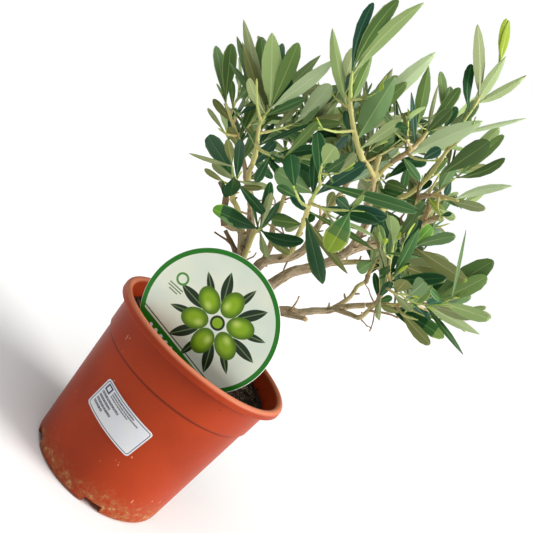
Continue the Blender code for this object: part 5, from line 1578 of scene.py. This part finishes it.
def barkFinish(s):
    # grey brown bark: darker in its grooves, paler on its ridges, with green grey patches and pale cut ends
    finish = Finish("bark", s["color"], 0.86, {"Specular IOR Level": 0.3})
    place = finish.place()
    relief, cut, young = (finish.attribute(name) for name in ("relief", "cut", "young"))
    fine = finish.speckle(place, 700, 4, 0.65)
    body = finish.coated(
        s["color"], (s["moss"], finish.speckle(place, 60, 3).rise(0.5, 0.72) * 0.7),
        (s["ridge"], (relief + 0.7 * fine).rise(0.85, 1.35) * 0.75),
        (s["groove"], (relief + 0.5 * fine).rise(0.62, 0.3)), (s["green"], young * 0.8),
        (s["specks"], finish.speckle(place, 420, 2).rise(0.66, 0.74) * 0.5), (s["wood"], cut)
    )
    finish.feed("Base Color", body)
    finish.bumped(fine + relief * 0.3, 0.0006, 0.55)
    return finish


def makeLimbs(s):
    samples = limbLines(s)
    bars = [tubes(line[None], wide[None], s["sides"]) for line, _, _, _, _, wide, _ in samples]
    obj = addMesh("bark_skin", *joined(bars), [barkFinish(s)])
    remesh = obj.modifiers.new("one skin", "REMESH")
    remesh.mode, remesh.voxel_size, remesh.adaptivity = "VOXEL", s["voxel"] * mm, 0.0
    smooth = obj.modifiers.new("eased joints", "SMOOTH")
    smooth.factor, smooth.iterations = 0.5, s["smoothing"]
    settle(obj)
    mesh = obj.data
    count = len(mesh.vertices)
    flat = np.empty(count * 3, np.float32)
    mesh.vertices.foreach_get("co", flat)
    place = flat.reshape(-1, 3).astype(float) / mm
    mesh.vertices.foreach_get("normal", flat)
    normals = flat.reshape(-1, 3).astype(float)
    fields = [np.concatenate([line[i] for line in samples]) for i in range(7)]
    centres, ahead, side, other, marks, wide, number = fields
    at = nearestSamples(place, centres, wide)
    off = place - centres[at]
    along = marks[at] + (off * ahead[at]).sum(axis=1)
    local = np.column_stack([(off * side[at]).sum(axis=1), (off * other[at]).sum(axis=1), along])
    shifted = local + number[at][:, None] * np.array([31.7, 17.3, 53.9])
    # grain: ridged noise stretched along the limb; lumps: broad soft noise; nodes: a ring every so often
    stretch = shifted / (s["grainWidth"], s["grainWidth"], s["grainLength"])
    grain = 1 - 2 * np.abs(layered(stretch, 5, 3))
    thick = np.clip((wide[at] - 1.2) / 3, 0.25, 1)
    swell = noise(shifted / (s["lumpSize"], s["lumpSize"], 2.2 * s["lumpSize"]), 9)
    spacing = s["nodeEvery"] * (0.8 + 0.4 * (number[at] % 3) / 2)
    gap = (np.abs((along / spacing + 0.37 * number[at]) % 1 - 0.5) - 0.5) * spacing
    ring = np.exp(-(gap / s["nodeWidth"]) ** 2) * (0.55 + 0.45 * noise(shifted / (2.5, 2.5, 9), 12))
    rise = s["grain"] * thick * (grain - 0.35) + s["lumps"] * thick * swell
    rise += s["nodeHeight"] * ring * (0.5 + 0.5 * thick)
    ends = np.array([name in s["stubs"] for name in limbs])[number[at]]
    lastMark = np.array([line[4][-1] for line in samples])[number[at]]
    cut = ends * eased(np.clip((along - lastMark + 0.9) / 0.5, 0, 1))
    place += normals * (rise * (1 - cut))[:, None]
    floor = growthSettings["trunkFoot"][2]
    place[:, 2] = np.maximum(place[:, 2], floor)
    mesh.vertices.foreach_set("co", (place * mm).astype(np.float32).ravel())
    green = np.array([name in s["youngLimbs"] for name in limbs])[number[at]]
    young = np.clip((2.6 - wide[at]) / 1.0, 0, 1) * eased(np.clip((place[:, 2] - 180) / 60, 0, 1))
    young = np.maximum(young, green * eased(np.clip((along / lastMark - 0.05) / 0.3, 0, 1)))
    for key, values in (("relief", 0.5 + 0.5 * grain), ("cut", cut), ("young", young)):
        mesh.attributes.new(key, "FLOAT", "POINT").data.foreach_set("value", values.astype(np.float32))
    mesh.update()
    finishPiece(obj, "bark", *limbTable)


# Bare twigs at places of their own: foot, tip and radius.
bareTwigs = [
    (-23, -5, 182, -41, -5, 191, 2.0), (-23, -7, 185, -45, -9, 188, 0.9),
    (-18, -5, 182, -14, -7, 193, 0.6), (-23, -24, 206, -29, -26, 214, 0.6),
    (67, -16, 221, 74, -18, 206, 0.55), (66, -8, 206, 76, -10, 205, 0.5),
    (66, -16, 220, 51, -19, 228, 0.5), (-42, -20, 194, -65, -18, 214, 2.6), (4, 7, 203, 7, 5, 194, 0.7),
    (37, 35, 225, 34, 33, 235, 0.6)
]


def makeSpurs(s):
    # short spurs and longer bare twigs: each leaves its limb's side, turned forwards, and kinks on its way
    rng = np.random.default_rng(61)
    chosen = [line for line in limbLines(s) if line[4][-1] > 12]
    routes, radii, steps = [], [], 6
    for line, ahead, side, other, marks, wide, _ in chosen:
        count = int(marks[-1] / s["spurEvery"])
        at = rng.integers(len(line) // 5, len(line) - 2, count)
        turn = rng.uniform(0, 2 * math.pi, (count, 1))
        out = np.cos(turn) * side[at] + np.sin(turn) * other[at]
        way = unit(out + rng.uniform(0.2, 0.9, (count, 1)) * ahead[at] + (0, 0, 0.25))
        longer = (rng.uniform(size=count) < s["twigShare"])[:, None]
        lengths = [rng.uniform(*s[kind], (count, 1)) for kind in ("twigLength", "spurLength")]
        length = np.where(longer, *lengths)
        share = np.linspace(0, 1, steps)[None, :, None]
        kinks = np.cumsum(rng.normal(0, 0.06, (count, steps, 3)), axis=1) * length[:, :, None]
        root = line[at] + 0.5 * wide[at][:, None] * out
        reach = 0.5 * wide[at][:, None, None] + length[:, :, None]
        routes.append(root[:, None] + reach * share * way[:, None] + kinks * share)
        foot = rng.uniform(*s["spurRadius"], (count, 1)) * np.minimum(1, wide[at][:, None] / 1.6)
        radii.append(foot * (1 - 0.3 * share[..., 0]) * (1 + 0.2 * (np.arange(steps) % 2)))
    placed = np.array(bareTwigs)
    reach = placed[:, None, 3:6] - placed[:, None, :3]
    size = np.linalg.norm(reach, axis=-1, keepdims=True)
    kinks = np.cumsum(rng.normal(0, 0.05, (len(placed), steps, 3)), axis=1) * size
    routes.append(placed[:, None, :3] + share * (reach + kinks))
    radii.append(placed[:, 6:] * (1 - 0.35 * share[..., 0]) * (1 + 0.2 * (np.arange(steps) % 2)))
    routes, radii = np.vstack(routes), np.vstack(radii)
    low, high = (np.array(corner) / mm for corner in cadBounds)
    routes = np.clip(routes, low + 1, high - 1)
    clear = (routes[:, :, 2] > growthSettings["trunkFoot"][2] + 3).all(axis=1)
    routes, radii = routes[clear], radii[clear]
    points, quads, triangles = tubes(routes, radii, 5)
    paints, kinds = dealt("spur", s["spurColors"], 0.85, 0.3, len(routes), quads, triangles, rng)
    finishPiece(addMesh("bark_spurs", points, quads, triangles, paints, kinds), "bark", *limbTable)


makeLimbs(barkSettings)
makeSpurs(barkSettings)
print("bark made")


# The card: a stiff round disc, green at its edge, with a wreath of ovals and pointed leaves on pale ground.
cardSettings = dict(
    rings=22, sides=160, edge=0.25, warp=0.5, ground=(240, 246, 226), rim=(36, 124, 30), ringWidth=3.3,
    wreath=(5.0, 3.0), mark=(-30, 9), cloud=(228, 240, 224), oval=(144, 184, 32), ovalShade=(80, 118, 20),
    ovalLight=(204, 224, 112), leaf=(34, 52, 32), vein=(108, 128, 84), rule=(28, 92, 34),
    dots=(240, 244, 238), markRing=(88, 150, 70), markRules=(104, 132, 92), cutEdge=(228, 234, 226),
    back=(226, 228, 222)
)


def cardFinish(s):
    # the print is worked out from where a point is on the card, in millimetres from its middle
    finish = Finish("card_print", s["ground"], 0.36, {"Specular IOR Level": 0.2})
    x, y = finish.onPrint()
    radius = (x * x + y * y) ** 0.5
    across, above = x - s["wreath"][0], y - s["wreath"][1]
    reachOut = (across * across + above * above) ** 0.5
    turn = finish.node("ShaderNodeMath", {"operation": "ARCTAN2"}, {0: above, 1: across})

    def folded(offset, fold=6):
        # the point turned into one of six like sectors round the wreath's middle
        sector = 2 * math.pi / fold
        angle = (turn + offset).maths("FLOORED_MODULO", turn + offset, sector) - sector / 2
        return reachOut * angle.maths("COSINE", angle), reachOut * angle.maths("SINE", angle)

    coats = [(s["cloud"], finish.speckle(finish.place(), 30, 2).rise(0.35, 0.65))]
    # pointed leaves, wide in the middle and drawn to a tip at each end
    for offset, centre, length, width in ((0.62, 22.5, 11.0, 3.6), (0.16, 23.5, 9.5, 2.4)):
        px, py = folded(offset)
        t = (px - centre) / length
        inside = (abs(py) + width * t * t).rise(width + 0.12, width - 0.12)
        coats += [(s["leaf"], inside), (s["vein"], inside * abs(py).rise(0.5, 0.2))]
    # ovals, shaded towards their edges and with a soft light spot each
    px, py = folded(0.0)
    ux, uy = (px - 15.2) / 9.2, py / 7.0
    reach = (ux * ux + uy * uy) ** 0.5
    glint = (((ux + 0.3) * (ux + 0.3) + (uy - 0.3) * (uy - 0.3)) ** 0.5).rise(0.5, 0.0)
    fruit = finish.coated(s["oval"], (s["ovalShade"], reach.rise(0.35, 1.0)), (s["ovalLight"], glint * 0.8))
    coats += [(fruit, reach.rise(1.02, 0.98)), (s["leaf"], reachOut.rise(5.0, 4.8))]
    coats.append((s["oval"], reachOut.rise(3.5, 3.3)))
    # below a slanting edge: a thin dark rule, a pale gap, then green with a row of white dots
    slant, ahead = 0.988 * y + 0.155 * x, 0.988 * x - 0.155 * y
    step = ahead.maths("FLOORED_MODULO", ahead, 5.0) - 2.5
    dots = ((step * step + (slant + 31.5) * (slant + 31.5)) ** 0.5).rise(1.45, 1.25)
    coats += [(s["rule"], abs(slant + 25.6).rise(0.45, 0.3)), (s["rim"], slant.rise(-27.1, -27.4))]
    coats.append((s["dots"], dots * radius.rise(39.5, 39.0)))
    # a small ring on the left with three short rules under it
    markX, markY = s["mark"]
    mark = ((x - markX) * (x - markX) + (y - markY) * (y - markY)) ** 0.5
    coats.append((s["markRing"], abs(mark - 3.6).rise(0.85, 0.6)))
    for level, half in ((2.6, 5.4), (0.8, 5.4), (-1.0, 3.4)):
        rule = abs(y - level).rise(0.5, 0.3) * abs(x - markX).rise(half + 0.1, half - 0.1)
        coats.append((s["markRules"], rule))
    edge = growthSettings["cardRadius"]
    coats.append((s["rim"], radius.rise(edge - s["ringWidth"] - 0.1, edge - s["ringWidth"] + 0.1)))
    coats.append((s["cutEdge"], radius.rise(edge - 0.4, edge - 0.2)))
    finish.feed("Base Color", finish.coated(s["ground"], *coats))
    return finish


def makeCard(s, g=growthSettings):
    # a polar grid for the face and one for the back, joined round the edge; the disc is faintly warped
    level, upright, ahead = cardFrame()
    radius, half = g["cardRadius"], g["cardThickness"] / 2
    reach = np.r_[0.02, np.linspace(0.05, 1, s["rings"] - 1)] * (radius - s["edge"])
    rim = [(radius, -half + s["edge"]), (radius, half - s["edge"])]
    profile = np.array([(r, -half) for r in reach] + rim + [(r, half) for r in reach[::-1]])
    flat = (profile[:, None, :1] * circle(s["sides"])[None]).reshape(-1, 2)
    depth = np.repeat(profile[:, 1], s["sides"])
    flat = np.vstack([flat, [(0, 0), (0, 0)]])
    depth = np.r_[depth, -half, half]
    bow = s["warp"] * ((flat[:, 0] * 0.9 + flat[:, 1] * 0.4) / radius) ** 2 - 0.5 * s["warp"]
    points = np.array(g["cardCentre"]) + flat[:, :1] * level + flat[:, 1:] * upright
    points += (depth + bow)[:, None] * ahead
    row = np.repeat(np.arange(len(profile) - 1), s["sides"])
    kinds = np.concatenate([(row <= len(reach)).astype(int), np.repeat([1, 0], s["sides"])])
    paints = [cardFinish(s), Finish("card_back", s["back"], 0.5)]
    quads, fans = closedGrid(len(profile), s["sides"])
    card = addMesh("picture_disc", points, quads, fans, paints, kinds, flat / printSpan + 0.5)
    card.data.set_sharp_from_angle(angle=math.radians(40))
    finishPiece(card, "card_stock", "picture_card")


makeCard(cardSettings)
print("card made")


# The sticker: a thin white sheet with a blue border, wrapped round the wall.
stickerSettings = dict(
    width=45.8, height=23.8, corner=2.0, thickness=0.3, gap=0.3, heading=258.6, level=61.6, turn=-8.5,
    columns=61, rows=33, paper=(214, 216, 218), cloud=(210, 214, 222), ink=(24, 28, 62),
    lines=[  # plain bars in place of words, as (level, left, right, half their height)
        (8.9, -13.6, 8.0, 0.6), (7.2, -13.6, 13.0, 0.5), (5.6, -13.6, 5.0, 0.5), (2.6, -20.0, -1.0, 0.9),
        (-0.3, -20.0, -7.0, 0.9), (-3.2, -20.0, -3.5, 0.9), (-6.1, -20.0, -10.0, 0.9)]
)


def stickerFinish(s):
    # plain bars and a box in dark ink, worked out from where a point is on the label
    finish = Finish("sticker_print", s["paper"], 0.5)
    x, y = finish.onPrint()

    def beyondBox(cx, cy, halfX, halfY, corner):
        # how far a point lies outside a box with rounded corners
        dx = (abs(x - cx) - (halfX - corner)).atLeast(0.0)
        dy = (abs(y - cy) - (halfY - corner)).atLeast(0.0)
        return (dx * dx + dy * dy) ** 0.5 - corner

    border = abs(beyondBox(0, 0, s["width"] / 2 - 1.2, s["height"] / 2 - 1.2, 1.6)).rise(0.32, 0.2)
    box = beyondBox(-17.6, 7.2, 2.6, 2.6, 0.4).rise(0.1, -0.1)
    hole = beyondBox(-17.6, 7.2, 1.5, 1.5, 0.2).rise(0.1, -0.1)
    ink = border.atLeast(box - hole)
    grain = finish.speckle(finish.node("ShaderNodeUVMap", {"uv_map": "place"}), 260, 1)
    for level, left, right, half in s["lines"]:
        long = abs(x - (left + right) / 2).rise((right - left) / 2, (right - left) / 2 - 0.2)
        bar = abs(y - level).rise(half + 0.1, half - 0.1) * long
        ink = ink.atLeast(bar * grain.rise(0.42, 0.46))
    clouds = finish.speckle(finish.place(), 90, 2).rise(0.4, 0.7)
    finish.feed("Base Color", finish.coated(s["paper"], (s["cloud"], clouds), (s["ink"], ink)))
    return finish


def makeSticker(s):
    # two grids over a sheet with rounded corners, wrapped on the wall a thickness apart, joined at the edge
    across = np.linspace(-0.5, 0.5, s["columns"]) * s["width"]
    upward = np.linspace(-0.5, 0.5, s["rows"]) * s["height"]
    u, v = np.meshgrid(across, upward)
    # each row narrows and each column shortens where it meets a corner's arc
    over = np.clip(np.abs(v) - (s["height"] / 2 - s["corner"]), 0, s["corner"])
    inset = s["corner"] - np.sqrt(np.maximum(s["corner"] ** 2 - over**2, 0))
    u = u * (1 - inset / (s["width"] / 2))
    turn = math.radians(s["turn"])
    sideways = u * math.cos(turn) - v * math.sin(turn)
    level = s["level"] + u * math.sin(turn) + v * math.cos(turn)
    angle = math.radians(s["heading"]) + sideways / wallRadius(s["level"])
    layers = []
    for standOff in (s["gap"] * 0.3, s["gap"] + s["thickness"]):
        radius = wallRadius(level) + standOff
        layer = np.stack([radius * np.cos(angle), radius * np.sin(angle), level], axis=-1)
        layers.append(layer.reshape(-1, 3))
    rows, columns = s["rows"], s["columns"]
    front = gridQuads(rows, columns)
    count = rows * columns
    index = np.arange(count).reshape(rows, columns)
    rim = np.concatenate([index[0, :-1], index[:-1, -1], index[-1, :0:-1], index[:0:-1, 0]])
    around = np.stack([rim, np.roll(rim, -1), np.roll(rim, -1) + count, rim + count], axis=-1)
    quads = np.vstack([front[:, ::-1], front + count, around])
    places = np.stack([u, v], axis=-1).reshape(-1, 2) / printSpan + 0.5
    paints = [stickerFinish(s)]
    sheet = addMesh("label_sheet", np.vstack(layers), quads, None, paints, uvs=np.vstack([places, places]))
    sheet.data.set_sharp_from_angle(angle=math.radians(40))
    finishPiece(sheet, "sticker_paper", "sticker")


makeSticker(stickerSettings)
print("sticker made")
